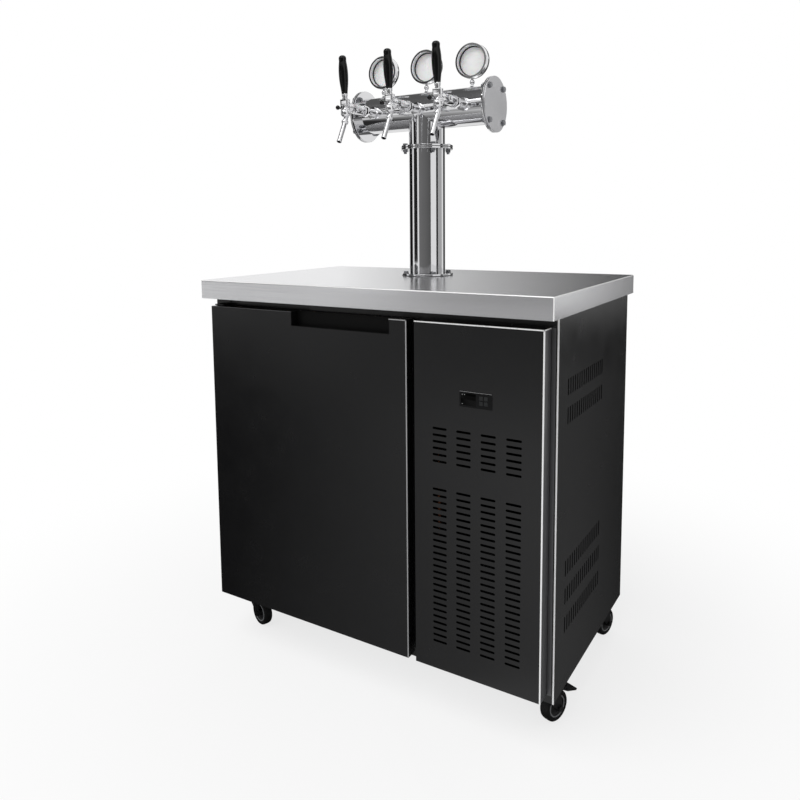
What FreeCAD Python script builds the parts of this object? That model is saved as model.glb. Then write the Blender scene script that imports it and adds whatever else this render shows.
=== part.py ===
import FreeCAD, Part
import math
import os

V = FreeCAD.Vector
X_AXIS = V(1, 0, 0)
Y_AXIS = V(0, 1, 0)
Z_AXIS = V(0, 0, 1)

# Keg cooler with a three-tap tee tower: millimetres, +Z up, the front faces -Y.
# The origin is on the floor under the middle of the worktop.

# ---------------------------------------------------------------- driving dimensions
# fits
running_clearance = 0.05
swing_clearance = 0.3
hole_clearance = 0.3

# worktop
worktop_width = 1000.0
worktop_depth = 650.0
worktop_apron = 50.0
worktop_sheet = 1.5
worktop_hem = 15.0
worktop_bend = 3.0

# case
case_height = 865.0
side_overhang = 7.0
front_overhang = 52.0
back_overhang = 35.0
case_sheet = 1.5
frame_sheet = 1.5
frame_stile = 22.0
frame_rail = 44.0
tray_sheet = 2.0
tray_lip = 30.0
foam_side = 50.0
foam_base = 58.0
foam_top = 60.0
liner_sheet = 1.0

# door and front panel
front_projection = 40.3
door_share = 0.6283
door_side_inset = 18.5
panel_side_inset = 16.0
door_panel_gap = 21.0
door_top_gap = 21.5
door_bottom_gap = 18.0
door_sheet = 1.0
panel_sheet = 1.2
gasket_depth = 8.0
gasket_width = 18.0
gasket_land = 2.0
bay_side_land = 37.0
dyke_inset = 25.0
dyke_rise = 7.0

# finger recess in the top edge of the door
recess_width = 292.0
recess_height = 35.0
recess_depth = 25.0
recess_latch_offset = 47.0
recess_wall = 1.5
recess_undercut = 21.0

# door hinges
hinge_side = 12.0
hinge_back = 20.0
hinge_pin_radius = 5.0
hinge_pin_engagement = 18.0
hinge_bush_wall = 4.0
hinge_bush_base = 2.5
hinge_plate = 3.0
hinge_gap = 1.5
hinge_leg = 13.0
hinge_nose = 10.0
hinge_bracket_width = 34.0
hinge_bracket_side = 11.5

# louvre slots
front_slot_length = 36.0
front_slot_width = 5.5
front_slot_pitch_x = 60.0
front_slot_pitch_z = 15.4
front_slot_side_margin = 28.0
front_slot_foot_margin = 66.0
front_upper_rows = 6
front_upper_top = 243.5
front_lower_top = 387.0
side_slot_height = 38.0
side_slot_width = 7.0
side_slot_pitch = 16.2
side_slot_count = 17
side_slot_start = 69.0
side_slot_drops = (160.0, 225.0)
side_slot_rises = (153.0, 221.0, 287.0)
rear_slot_rows = 9
rear_slot_side_margin = 30.0
rear_slot_pitch_x = 54.0
rear_slot_pitch_z = 22.0
rear_slot_top = 150.0

# temperature controller
controller_width = 78.0
controller_height = 35.0
controller_lip = 2.0
controller_chamfer = 0.8
controller_frame = 3.5
controller_body_depth = 55.0
controller_drop = 166.5
window_width = 36.0
window_margin = 4.0
window_recess = 0.8
key_size = 9.0
key_pitch = 11.5
key_depth = 4.0
key_proud = 0.9
key_travel = 0.8
key_gap = 0.1
key_side_clearance = 0.3
key_edge = 0.6
key_margin = 14.0

# casters
caster_inset_x = 46.0
caster_inset_front = 73.0
caster_inset_back = 65.0
caster_plate_length = 84.0
caster_plate_width = 70.0
caster_plate_thickness = 3.5
caster_plate_corner = 8.0
kingpin_radius = 6.0
kingpin_head_radius = 9.5
kingpin_head_height = 4.0
fork_cup_radius = 22.0
fork_cup_height = 10.0
fork_sheet = 3.0
fork_side_gap = 4.0
fork_crown_gap = 21.2
fork_tail = 23.0
fork_nose = 35.0
fork_cheek_depth = 14.0
fork_trail = 33.0
axle_radius = 4.0
axle_boss_radius = 10.0
axle_nut_radius = 7.2
axle_nut_height = 5.0
wheel_radius = 37.5
wheel_width = 24.0
tyre_thickness = 10.5
tyre_round = 4.0
hub_step = 1.0
hub_dish = 4.0
hub_rim = 5.0
hub_boss_wall = 5.0
brake_pin_radius = 3.0
brake_hub_wall = 3.0
brake_pivot_s = 26.0
brake_pivot_drop = 6.5
brake_knee = 32.0
brake_knee_rise = 29.0
brake_reach = 100.0
brake_tip_drop = 9.0
brake_tip_width = 38.0
brake_tip_corner = 6.0
brake_sheet = 2.5
brake_clearance = 0.4
caster_turns = {"front_right": 70.0, "front_left": -17.0, "back_right": 75.0, "back_left": -100.0}
braked_casters = ("front_right", "back_left")

# tee tower
tower_x = -20.0
tower_y = 90.0
tube_radius = 50.8
tube_wall = 1.5
flange_thickness = 5.0
flange_edge = 0.8
flange_margin = 10.5
tower_gasket_thickness = 1.5
mid_flange_rise = 357.0
tee_axis_rise = 459.5
tee_half_length = 210.0
bolt_circle_offset = 11.7
bolt_radius = 4.0
bolt_head_radius = 7.5
bolt_head_height = 6.0
bolt_washer = 1.2
bolt_washer_margin = 1.0
bolt_end = 5.0
base_bolt_hole_depth = 32.0
base_bolt_hole_spare = 2.0
passage_clearance = 8.2

# taps, along the reach from the axis of the tee to the front
tap_pitch = 140.0
shank_radius = 10.2
shank_inner_reach = 18.0
shank_proud = 45.2
escutcheon_radius = 17.0
escutcheon_proud = 9.2
escutcheon_nut = 8.0
coupling_radius = 16.0
coupling_length = 18.0
barrel_radius = 13.0
barrel_length = 68.0
tap_neck_length = 14.0
pivot_rise = 6.0
tap_head_radius = 12.5
tap_head_bottom = 26.0
pivot_boss_radius = 9.0
pivot_boss_width = 14.0
pivot_pin_radius = 3.0
yoke_arm = 3.5
yoke_bridge = 5.0
yoke_half_depth = 8.0
yoke_relief = 0.5
handle_tilt = 5.0
ferrule_length = 14.0
ferrule_radius = 7.5
grip_length = 99.0
grip_top_radius = 10.5
grip_widest_radius = 12.5
grip_bottom_radius = 8.0
spout_tilt = 28.0
spout_length = 86.0
spout_radius = 6.5
spout_bore = 4.5
spout_set_back = 8.0
spout_rise = 8.0
spout_collar_place = 22.0
spout_collar_width = 5.0
spout_collar_proud = 2.5
flow_set_back = 17.0
flow_seat_proud = 4.0
flow_hub_radius = 7.5
flow_hub_width = 6.0
flow_stem = 9.0
flow_stem_radius = 2.5
flow_rod_radius = 2.2
flow_rod_length = 30.0
flow_ball_radius = 6.0
flow_cap_radius = 7.0
flow_cap_length = 5.0

# beer lines
line_radius = 4.75
line_bore = 3.2
line_bend = 22.0
line_pitch = 22.0
line_offset_y = 12.0
union_radius = 9.0
union_bore = 2.6
union_length = 34.0
union_rise = 8.0
union_plate_margin = 8.0
union_plate_thickness = 3.0

# medallions over the tee
medallion_radius = 46.0
medallion_stand = 22.7
medallion_depth = 22.0
medallion_wall = 3.0
medallion_lip = 6.8
medallion_recess = 16.0
medallion_disc = 3.0
medallion_back = 2.0
medallion_ball_radius = 7.0
medallion_ball_rise = 13.3
medallion_stud_radius = 3.2
medallion_foot_radius = 7.0
medallion_foot_height = 7.0

# cooling unit in the side bay
condenser_side_gap = 31.0
condenser_height = 300.0
condenser_depth = 60.0
condenser_front_gap = 30.0
coil_end = 6.0
coil_groove_pitch = 9.0
coil_groove = 3.0
coil_groove_depth = 12.0
shroud_depth = 34.0
shroud_sheet = 1.2
fan_radius = 106.0
fan_tip_gap = 8.0
fan_hub_radius = 20.0
fan_hub_depth = 16.0
fan_blade_count = 5
fan_blade_sheet = 2.0
fan_blade_chord = 48.0
fan_blade_pitch = 28.0
fan_blade_root = 4.0
fan_shaft_radius = 3.0
fan_shaft_length = 36.0
fan_motor_radius = 38.0
fan_motor_length = 60.0
fan_motor_gap = 12.0
strap_half = 10.0
strap_sheet = 2.0
strap_inset = 12.0
compressor_radius = 80.0
compressor_height = 175.0
compressor_base_rise = 22.0
compressor_base_inset = 16.0
compressor_shoulder = 55.0
compressor_crown = 22.0
compressor_crown_inset = 11.0
compressor_top_radius = 36.0
compressor_seam_rise = 90.0
compressor_seam_width = 5.0
compressor_seam_proud = 4.0
compressor_back_gap = 60.0
compressor_foot_plate = 3.0
terminal_width = 56.0
terminal_depth = 26.0
terminal_height = 62.0
terminal_rise = 50.0
grommet_radius = 12.0
grommet_height = 8.0
grommet_inset = 2.0
discharge_rise = 70.0
pipe_radius = 4.0
pipe_hole = 4.5
pipe_bend = 14.0
pipe_spacing = 40.0
pipe_side_run = 15.5
pipe_wall_run = 70.0
liquid_pipe_radius = 3.0
liquid_pipe_bend = 12.0
liquid_outlet_drop = 30.0
drier_radius = 10.0
drier_length = 80.0
drier_rise = 60.0

# evaporator in the keg bay
evaporator_width = 320.0
evaporator_height = 380.0
evaporator_depth = 92.0
evaporator_sheet = 1.2
evaporator_drop = 70.0
evaporator_side_gap = 110.0
evaporator_coil_depth = 26.0
evaporator_coil_inset = 40.0
evaporator_coil_gap = 1.2
evaporator_fan_radius = 74.0
evaporator_fan_front_gap = 4.0
evaporator_fan_drop = 144.0
evaporator_motor_radius = 26.0
evaporator_strap_reach = 90.0
guard_first = 14.0
guard_opening = 9.0
guard_pitch = 12.0
guard_rings = 6
guard_spoke = 3.0
outlet_rows = 4
outlet_first = 22.0
outlet_pitch = 14.0
outlet_width = 6.0
outlet_inset = 30.0

# mains inlet
gland_radius = 11.0
gland_bore = 4.5
gland_height = 90.0
gland_side_gap = 60.0
gland_collar_radius = 16.0
gland_collar = 3.0
gland_nut_radius = 17.0
gland_nut = 7.0
gland_tail = 12.0
gland_nose = 14.0
gland_nose_radius = 10.0

# ---------------------------------------------------------------- derived places
caster_height = (
    2 * wheel_radius + fork_crown_gap + fork_cup_height + swing_clearance + caster_plate_thickness
)
case_bottom = caster_height
case_top = case_bottom + case_height
worktop_top = case_top + worktop_apron
half_width = worktop_width / 2
half_depth = worktop_depth / 2
case_left = -half_width + side_overhang
case_right = half_width - side_overhang
case_front = -half_depth + front_overhang
case_back = half_depth - back_overhang
door_front = case_front - front_projection
door_left = case_left + door_side_inset
door_width = door_share * (case_right - case_left)
door_right = door_left + door_width
panel_left = door_right + door_panel_gap
panel_right = case_right - panel_side_inset
panel_middle = (panel_left + panel_right) / 2
door_bottom = case_bottom + door_bottom_gap
door_top = case_top - door_top_gap
skin_left = case_left + case_sheet
skin_right = case_right - case_sheet
skin_back = case_back - case_sheet
frame_back = case_front + frame_sheet
tray_floor = case_bottom + tray_sheet
bay_left = skin_left + liner_sheet + foam_side
bay_right = door_right - bay_side_land
bay_bottom = tray_floor + foam_base
bay_top = case_top - foam_top
bay_back = skin_back - foam_side
divider_right = bay_right + liner_sheet + foam_side
cooling_middle = (divider_right + skin_right) / 2
door_back = case_front - gasket_depth
hinge_x = door_left + hinge_side
hinge_y = case_front - hinge_back
hinge_bush_radius = hinge_pin_radius + hinge_bush_wall
hinge_bush_length = hinge_pin_engagement + hinge_bush_base
recess_left = door_right - recess_latch_offset - recess_width
recess_right = recess_left + recess_width
recess_bottom = door_top - recess_height
controller_z = door_top - controller_drop
controller_body_width = controller_width - 2 * controller_frame
controller_body_height = controller_height - 2 * controller_frame

wheel_z = wheel_radius
hub_radius = wheel_radius - tyre_thickness
fork_gap = wheel_width + 2 * fork_side_gap
fork_top = case_bottom - caster_plate_thickness - swing_clearance
fork_crown = fork_top - fork_cup_height
brake_pivot_z = fork_crown - brake_pivot_drop
caster_places = {
    "front_right": (case_right - caster_inset_x, case_front + caster_inset_front),
    "front_left": (case_left + caster_inset_x, case_front + caster_inset_front),
    "back_right": (case_right - caster_inset_x, case_back - caster_inset_back),
    "back_left": (case_left + caster_inset_x, case_back - caster_inset_back),
}

tube_bore = tube_radius - tube_wall
bolt_circle_radius = tube_radius + bolt_circle_offset
flange_radius = bolt_circle_radius + flange_margin
bolt_hole_radius = bolt_radius + hole_clearance
column_base = worktop_top + tower_gasket_thickness
column_top = worktop_top + mid_flange_rise
head_base = column_top + tower_gasket_thickness
tee_z = worktop_top + tee_axis_rise
end_gasket_reach = tee_half_length - flange_thickness - tower_gasket_thickness
joint_grip = 2 * flange_thickness + tower_gasket_thickness
line_spread = math.hypot(line_pitch, line_offset_y)
passage_radius = line_spread + line_radius + passage_clearance
tap_places = {"left": tower_x - tap_pitch, "middle": tower_x, "right": tower_x + tap_pitch}
escutcheon_reach = tube_radius + escutcheon_proud
shank_end_reach = tube_radius + shank_proud
barrel_start_reach = shank_end_reach + coupling_length
barrel_end_reach = barrel_start_reach + barrel_length
pivot_reach = barrel_end_reach + tap_neck_length
flow_reach = barrel_end_reach - flow_set_back
pivot_y = tower_y - pivot_reach
pivot_z = tee_z + pivot_rise
medallion_z = tee_z + tube_radius + medallion_stand + medallion_radius

fan_half_sweep = (fan_blade_chord * math.sin(math.radians(fan_blade_pitch)) + fan_blade_sheet) / 2
compressor_y = skin_back - tray_sheet - compressor_back_gap - compressor_radius
compressor_foot_z = tray_floor + grommet_height
compressor_base_z = compressor_foot_z + compressor_foot_plate
condenser_x0 = divider_right + condenser_side_gap
condenser_x1 = skin_right - condenser_side_gap
condenser_y0 = frame_back + condenser_front_gap
condenser_y1 = condenser_y0 + condenser_depth
condenser_z1 = tray_floor + condenser_height
shroud_back = condenser_y1 + shroud_depth
condenser_fan_y = shroud_back - fan_hub_depth / 2
condenser_fan_z = (tray_floor + condenser_z1) / 2
evaporator_x1 = bay_right - evaporator_side_gap
evaporator_x0 = evaporator_x1 - evaporator_width
evaporator_y0 = bay_back - evaporator_depth
evaporator_z1 = bay_top - evaporator_drop
evaporator_z0 = evaporator_z1 - evaporator_height
evaporator_fan_x = (evaporator_x0 + evaporator_x1) / 2
evaporator_fan_y = evaporator_y0 + evaporator_sheet + evaporator_fan_front_gap + fan_half_sweep
evaporator_fan_z = evaporator_z1 - evaporator_fan_drop
coil_front = bay_back - evaporator_coil_depth
coil_right = evaporator_x1 - evaporator_sheet - evaporator_coil_gap
pipe_y = bay_back - evaporator_coil_depth / 2
suction_z = (evaporator_z0 + evaporator_z1 + pipe_spacing) / 2
liquid_z = suction_z - pipe_spacing


# ---------------------------------------------------------------- helpers
def box(x0, x1, y0, y1, z0, z1):
    return Part.makeBox(x1 - x0, y1 - y0, z1 - z0, V(x0, y0, z0))


def rod(start, axis, radius, length):
    return Part.makeCylinder(radius, length, start, axis)


def tube(start, axis, outer, inner, length):
    return rod(start, axis, outer, length).cut(rod(start, axis, inner, length))


def joined(first, *others):
    return first.fuse(list(others)).removeSplitter()


def hexagon(start, axis, radius, length):
    side = Z_AXIS.cross(axis)
    side = X_AXIS if side.Length < 0.5 else side.normalize()
    turn = FreeCAD.Rotation(axis, 60)
    points = [side * radius]
    for _ in range(6):
        points.append(turn.multVec(points[-1]))
    wire = Part.makePolygon([start + point for point in points])
    return Part.Face(wire).extrude(axis * length)


def extruded(points, direction):
    return Part.Face(Part.makePolygon(points + points[:1])).extrude(direction)


def revolved(points, place):
    """A solid of revolution about Z from radius and height pairs."""
    wire = Part.makePolygon([V(radius, 0, height) for radius, height in points + points[:1]])
    solid = Part.Face(wire).revolve(V(0, 0, 0), Z_AXIS, 360)
    solid.translate(place)
    return solid


def slot_wire(centre, along, across, length, width):
    run = along * (length / 2 - width / 2)
    half = across * (width / 2)
    tip = along * (length / 2)
    edges = [
        Part.LineSegment(centre - run - half, centre + run - half).toShape(),
        Part.Arc(centre + run - half, centre + tip, centre + run + half).toShape(),
        Part.LineSegment(centre + run + half, centre - run + half).toShape(),
        Part.Arc(centre - run + half, centre - tip, centre - run - half).toShape(),
    ]
    return Part.Wire(edges)


def rectangle_wire(corner, side_a, side_b):
    points = [corner, corner + side_a, corner + side_a + side_b, corner + side_b, corner]
    return Part.makePolygon(points)


def pierced_sheet(outline, holes, thickness):
    return Part.makeFace([outline] + holes, "Part::FaceMakerBullseye").extrude(thickness)


def bolt_places(centre, axis, start_side):
    """Four places on the bolt circle, the first towards start_side."""
    turn = FreeCAD.Rotation(axis, 90)
    arm = start_side.normalize() * bolt_circle_radius
    places = []
    for _ in range(4):
        places.append(centre + arm)
        arm = turn.multVec(arm)
    return places


def bent_tube(points, radius, bore, bend):
    """A round tube along straight runs joined by tangent arcs."""
    edges = []
    start = points[0]
    for before, corner, after in zip(points, points[1:], points[2:]):
        way_in = (corner - before).normalize()
        way_out = (after - corner).normalize()
        half_turn = way_in.getAngle(way_out) / 2
        tangent = bend * math.tan(half_turn)
        enter = corner - way_in * tangent
        leave = corner + way_out * tangent
        inward = (way_out - way_in).normalize()
        middle = corner + inward * (bend / math.cos(half_turn) - bend)
        edges.append(Part.LineSegment(start, enter).toShape())
        edges.append(Part.Arc(enter, middle, leave).toShape())
        start = leave
    edges.append(Part.LineSegment(start, points[-1]).toShape())
    path = Part.Wire(edges)
    axis = (points[1] - points[0]).normalize()
    rings = [Part.Wire(Part.makeCircle(size, points[0], axis)) for size in (radius, bore) if size]
    solids = [path.makePipeShell([ring], True, True) for ring in rings]
    return solids[0].cut(solids[1]) if len(solids) == 2 else solids[0]


def edges_at_front(shape, front):
    return [edge for edge in shape.Edges if edge.BoundBox.YMax < front + 0.01]


def save(name, *solids):
    shape = solids[0] if len(solids) == 1 else Part.makeCompound(list(solids))
    shape.exportStep("parts/" + name + ".step")


# ---------------------------------------------------------------- worktop
def worktop_shapes():
    """The folded sheet and the board that it wraps."""
    outer = box(-half_width, half_width, -half_depth, half_depth, case_top, worktop_top)
    upright = [edge for edge in outer.Edges if edge.BoundBox.ZLength > worktop_apron / 2]
    upper = [edge for edge in outer.Edges if edge.BoundBox.ZMin > worktop_top - worktop_apron / 2]
    outer = outer.makeFillet(worktop_bend, upright + upper)
    inner_x = half_width - worktop_sheet
    inner_y = half_depth - worktop_sheet
    mouth_x = half_width - worktop_hem
    mouth_y = half_depth - worktop_hem
    hem_top = case_top + worktop_sheet
    core = joined(
        box(-inner_x, inner_x, -inner_y, inner_y, hem_top, worktop_top - worktop_sheet),
        box(-mouth_x, mouth_x, -mouth_y, mouth_y, case_top, hem_top),
    )
    sheet = outer.cut(core)
    holes = [rod(V(tower_x, tower_y, case_top), Z_AXIS, passage_radius, worktop_apron)]
    hole_start = V(tower_x, tower_y, worktop_top - base_bolt_hole_depth)
    for place in bolt_places(hole_start, Z_AXIS, V(1, 1, 0)):
        holes.append(rod(place, Z_AXIS, bolt_hole_radius, base_bolt_hole_depth))
    return sheet.cut(holes), core.cut(holes)


# ---------------------------------------------------------------- case
def base_tray():
    lip_top = case_bottom + tray_lip
    outer = box(skin_left, skin_right, frame_back, skin_back, case_bottom, lip_top)
    inner = box(
        skin_left + tray_sheet, skin_right - tray_sheet,
        frame_back + tray_sheet, skin_back - tray_sheet,
        tray_floor, lip_top,
    )
    return outer.cut(inner)


def outer_wrapper():
    left = box(case_left, skin_left, case_front, case_back, case_bottom, case_top)
    back = box(skin_left, divider_right, skin_back, case_back, case_bottom, case_top)
    return joined(left, back)


def bay_box(grow):
    return box(
        bay_left - grow, bay_right + grow, frame_back, bay_back + grow,
        bay_bottom - grow, bay_top + grow,
    )


def line_passage():
    return rod(V(tower_x, tower_y, bay_top), Z_AXIS, passage_radius, case_top - bay_top)


def pipe_holes():
    """Holes for the two refrigerant pipes through the wall between the bays."""
    return [
        rod(V(bay_right, pipe_y, height), X_AXIS, pipe_hole, divider_right - bay_right)
        for height in (suction_z, liquid_z)
    ]


def insulation_foam():
    lip_top = case_bottom + tray_lip
    upper = box(skin_left, divider_right, frame_back, skin_back, lip_top, case_top)
    lower = box(
        skin_left + tray_sheet, divider_right,
        frame_back + tray_sheet, skin_back - tray_sheet,
        tray_floor, lip_top,
    )
    return joined(upper, lower).cut([bay_box(liner_sheet), line_passage()] + pipe_holes())


def inner_liner():
    return bay_box(liner_sheet).cut([bay_box(0), line_passage()] + pipe_holes())


def front_frame():
    """Flat bars around the door opening and the service window, welded edge to edge."""
    left = divider_right + frame_stile
    right = skin_right - frame_stile
    bars = [
        (skin_left, bay_left, case_bottom, case_top),
        (bay_right, left, case_bottom, case_top),
        (right, skin_right, case_bottom, case_top),
        (bay_left, bay_right, case_bottom, bay_bottom),
        (bay_left, bay_right, bay_top, case_top),
        (left, right, case_bottom, case_bottom + frame_rail),
        (left, right, case_top - frame_rail, case_top),
    ]
    return [box(x0, x1, case_front, frame_back, z0, z1) for x0, x1, z0, z1 in bars]


def right_side_panel():
    outline = rectangle_wire(
        V(skin_right, case_front, case_bottom),
        Y_AXIS * (case_back - case_front), Z_AXIS * case_height,
    )
    heights = [case_top - drop for drop in side_slot_drops]
    heights += [case_bottom + rise for rise in side_slot_rises]
    holes = []
    for height in heights:
        for index in range(side_slot_count):
            across = case_front + side_slot_start + index * side_slot_pitch
            centre = V(skin_right, across, height)
            holes.append(slot_wire(centre, Z_AXIS, Y_AXIS, side_slot_height, side_slot_width))
    return pierced_sheet(outline, holes, X_AXIS * case_sheet)


def gland_place():
    return V(skin_right - gland_side_gap, skin_back, case_bottom + gland_height)


def rear_grille_panel():
    outline = rectangle_wire(
        V(divider_right, skin_back, case_bottom),
        X_AXIS * (skin_right - divider_right), Z_AXIS * case_height,
    )
    holes = [Part.Wire(Part.makeCircle(gland_radius, gland_place(), Y_AXIS))]
    room = skin_right - divider_right - 2 * rear_slot_side_margin - front_slot_length
    columns = int(room / rear_slot_pitch_x) + 1
    for column in range(columns):
        across = (column - (columns - 1) / 2) * rear_slot_pitch_x
        for row in range(rear_slot_rows):
            height = case_top - rear_slot_top - row * rear_slot_pitch_z
            centre = V(cooling_middle + across, skin_back, height)
            holes.append(slot_wire(centre, X_AXIS, Z_AXIS, front_slot_length, front_slot_width))
    return pierced_sheet(outline, holes, Y_AXIS * case_sheet)


def cord_gland():
    """Barrel through the rear panel, with a collar and nose outside and a lock nut inside."""
    place = gland_place()
    outside = place + Y_AXIS * case_sheet
    tail = place - Y_AXIS * gland_tail
    total = gland_tail + case_sheet + gland_collar + gland_nose
    solid = joined(
        rod(tail, Y_AXIS, gland_radius, gland_tail + case_sheet),
        rod(outside, Y_AXIS, gland_collar_radius, gland_collar),
        rod(outside, Y_AXIS, gland_nose_radius, gland_collar + gland_nose),
        hexagon(place - Y_AXIS * gland_nut, Y_AXIS, gland_nut_radius, gland_nut),
    )
    return solid.cut(rod(tail, Y_AXIS, gland_bore, total))


# ---------------------------------------------------------------- front panel and controller
def front_slot_places():
    width = panel_right - panel_left
    room = width - 2 * front_slot_side_margin - front_slot_length
    columns = int(room / front_slot_pitch_x) + 1
    heights = [door_top - front_upper_top - row * front_slot_pitch_z for row in range(front_upper_rows)]
    lower_room = door_top - front_lower_top - door_bottom - front_slot_foot_margin
    lower_rows = int(lower_room / front_slot_pitch_z) + 1
    heights += [door_top - front_lower_top - row * front_slot_pitch_z for row in range(lower_rows)]
    places = []
    for column in range(columns):
        across = (column - (columns - 1) / 2) * front_slot_pitch_x
        places += [V(panel_middle + across, door_front, height) for height in heights]
    return places


def front_grille_panel():
    """A louvred face with four edge returns that reach back to the frame."""
    outline = rectangle_wire(
        V(panel_left, door_front, door_bottom),
        X_AXIS * (panel_right - panel_left), Z_AXIS * (door_top - door_bottom),
    )
    cutout = rectangle_wire(
        V(panel_middle - controller_body_width / 2, door_front, controller_z - controller_body_height / 2),
        X_AXIS * controller_body_width, Z_AXIS * controller_body_height,
    )
    holes = [
        slot_wire(place, X_AXIS, Z_AXIS, front_slot_length, front_slot_width)
        for place in front_slot_places()
    ]
    face = pierced_sheet(outline, holes + [cutout], Y_AXIS * panel_sheet)
    back = door_front + panel_sheet
    left = panel_left + panel_sheet
    right = panel_right - panel_sheet
    return [
        face,
        box(panel_left, left, back, case_front, door_bottom, door_top),
        box(right, panel_right, back, case_front, door_bottom, door_top),
        box(left, right, back, case_front, door_bottom, door_bottom + panel_sheet),
        box(left, right, back, case_front, door_top - panel_sheet, door_top),
    ]


def key_places():
    middle = panel_middle + controller_width / 2 - key_margin - key_pitch / 2
    return [
        (middle + across * key_pitch / 2, controller_z + up * key_pitch / 2)
        for up in (1, -1) for across in (-1, 1)
    ]


def key_well(place):
    x, z = place
    half = key_size / 2 + key_side_clearance
    face = door_front - controller_lip
    return box(x - half, x + half, face, face + key_depth + key_travel, z - half, z + half)


def controller_housing():
    face = door_front - controller_lip
    half_w = controller_width / 2
    half_h = controller_height / 2
    bezel = box(
        panel_middle - half_w, panel_middle + half_w, face, door_front,
        controller_z - half_h, controller_z + half_h,
    )
    bezel = bezel.makeChamfer(controller_chamfer, edges_at_front(bezel, face))
    body = box(
        panel_middle - controller_body_width / 2, panel_middle + controller_body_width / 2,
        door_front, door_front + controller_body_depth,
        controller_z - controller_body_height / 2, controller_z + controller_body_height / 2,
    )
    window_left = panel_middle - half_w + window_margin
    window = box(
        window_left, window_left + window_width, face, face + window_recess,
        controller_z - half_h + window_margin, controller_z + half_h - window_margin,
    )
    return joined(bezel, body).cut([window] + [key_well(place) for place in key_places()])


def controller_key(place):
    x, z = place
    front = door_front - controller_lip - key_proud
    back = door_front - controller_lip + key_depth - key_gap
    cap = box(x - key_size / 2, x + key_size / 2, front, back, z - key_size / 2, z + key_size / 2)
    return cap.makeFillet(key_edge, edges_at_front(cap, front))


# ---------------------------------------------------------------- door
def recess_mouth(grow):
    """The open part of the finger recess, with its insert wall when grown."""
    return box(
        recess_left - grow, recess_right + grow, door_front, door_front + recess_depth + grow,
        recess_bottom - grow, door_top,
    )


def recess_hook(grow):
    """The part of the recess that goes down behind the front skin, where the fingers hook."""
    front = door_front + door_sheet + recess_wall
    low = recess_bottom - recess_undercut
    return box(
        recess_left - grow, recess_right + grow, front - grow, door_front + recess_depth + grow,
        low - grow, door_top,
    )


def bush_bores(radius):
    upper = V(hinge_x, hinge_y, door_top - hinge_bush_length)
    lower = V(hinge_x, hinge_y, door_bottom)
    return [rod(start, Z_AXIS, radius, hinge_bush_length) for start in (upper, lower)]


def door_core():
    return box(
        door_left + door_sheet, door_right - door_sheet,
        door_front + door_sheet, door_back - liner_sheet,
        door_bottom + door_sheet, door_top - door_sheet,
    )


def dyke(shrink):
    """The raised field of the door liner inside the gasket."""
    return box(
        bay_left + dyke_inset + shrink, bay_right - dyke_inset - shrink,
        door_back - liner_sheet, door_back + dyke_rise - shrink,
        bay_bottom + dyke_inset + shrink, bay_top - dyke_inset - shrink,
    )


def door_skin():
    outer = box(door_left, door_right, door_front, door_back - liner_sheet, door_bottom, door_top)
    return outer.cut([door_core(), recess_mouth(recess_wall)] + bush_bores(hinge_bush_radius))


def door_foam():
    cuts = [recess_mouth(recess_wall), recess_hook(recess_wall)] + bush_bores(hinge_bush_radius)
    return joined(door_core(), dyke(liner_sheet)).cut(cuts)


def door_liner():
    plate = box(door_left, door_right, door_back - liner_sheet, door_back, door_bottom, door_top)
    return joined(plate, dyke(0)).cut(dyke(liner_sheet))


def door_gasket():
    left = bay_left - gasket_land
    right = bay_right + gasket_land
    low = bay_bottom - gasket_land
    high = bay_top + gasket_land
    outer = box(
        left - gasket_width, right + gasket_width, door_back, case_front,
        low - gasket_width, high + gasket_width,
    )
    return outer.cut(box(left, right, door_back, case_front, low, high))


def handle_pocket():
    walls = joined(recess_mouth(recess_wall), recess_hook(recess_wall))
    return walls.cut([recess_mouth(0), recess_hook(0)])


def hinge_bracket(door_edge, outward):
    """A plate with a leg on the frame and a pin that stands into the door."""
    near = door_edge + outward * hinge_gap
    far = near + outward * hinge_plate
    left = hinge_x - hinge_bracket_side
    right = left + hinge_bracket_width
    plate = box(left, right, hinge_y - hinge_nose, case_front, min(near, far), max(near, far))
    corners = [
        edge for edge in plate.Edges
        if edge.BoundBox.ZLength > hinge_plate / 2 and edge.BoundBox.YMax < hinge_y
    ]
    plate = plate.makeFillet(hinge_nose / 2, corners)
    leg_end = near + outward * hinge_leg
    leg = box(
        left, right, case_front - hinge_plate, case_front, min(near, leg_end), max(near, leg_end),
    )
    pin_end = door_edge - outward * hinge_pin_engagement
    pin = rod(V(hinge_x, hinge_y, min(pin_end, far)), Z_AXIS, hinge_pin_radius, abs(far - pin_end))
    return joined(plate, leg, pin)


def hinge_bushes():
    """Flush plastic bushes in the door, closed at their inner end."""
    upper, lower = bush_bores(hinge_bush_radius)
    bore_radius = hinge_pin_radius + running_clearance
    upper_bore = rod(
        V(hinge_x, hinge_y, door_top - hinge_pin_engagement), Z_AXIS, bore_radius, hinge_pin_engagement,
    )
    lower_bore = rod(V(hinge_x, hinge_y, door_bottom), Z_AXIS, bore_radius, hinge_pin_engagement)
    return [upper.cut(upper_bore), lower.cut(lower_bore)]


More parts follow.
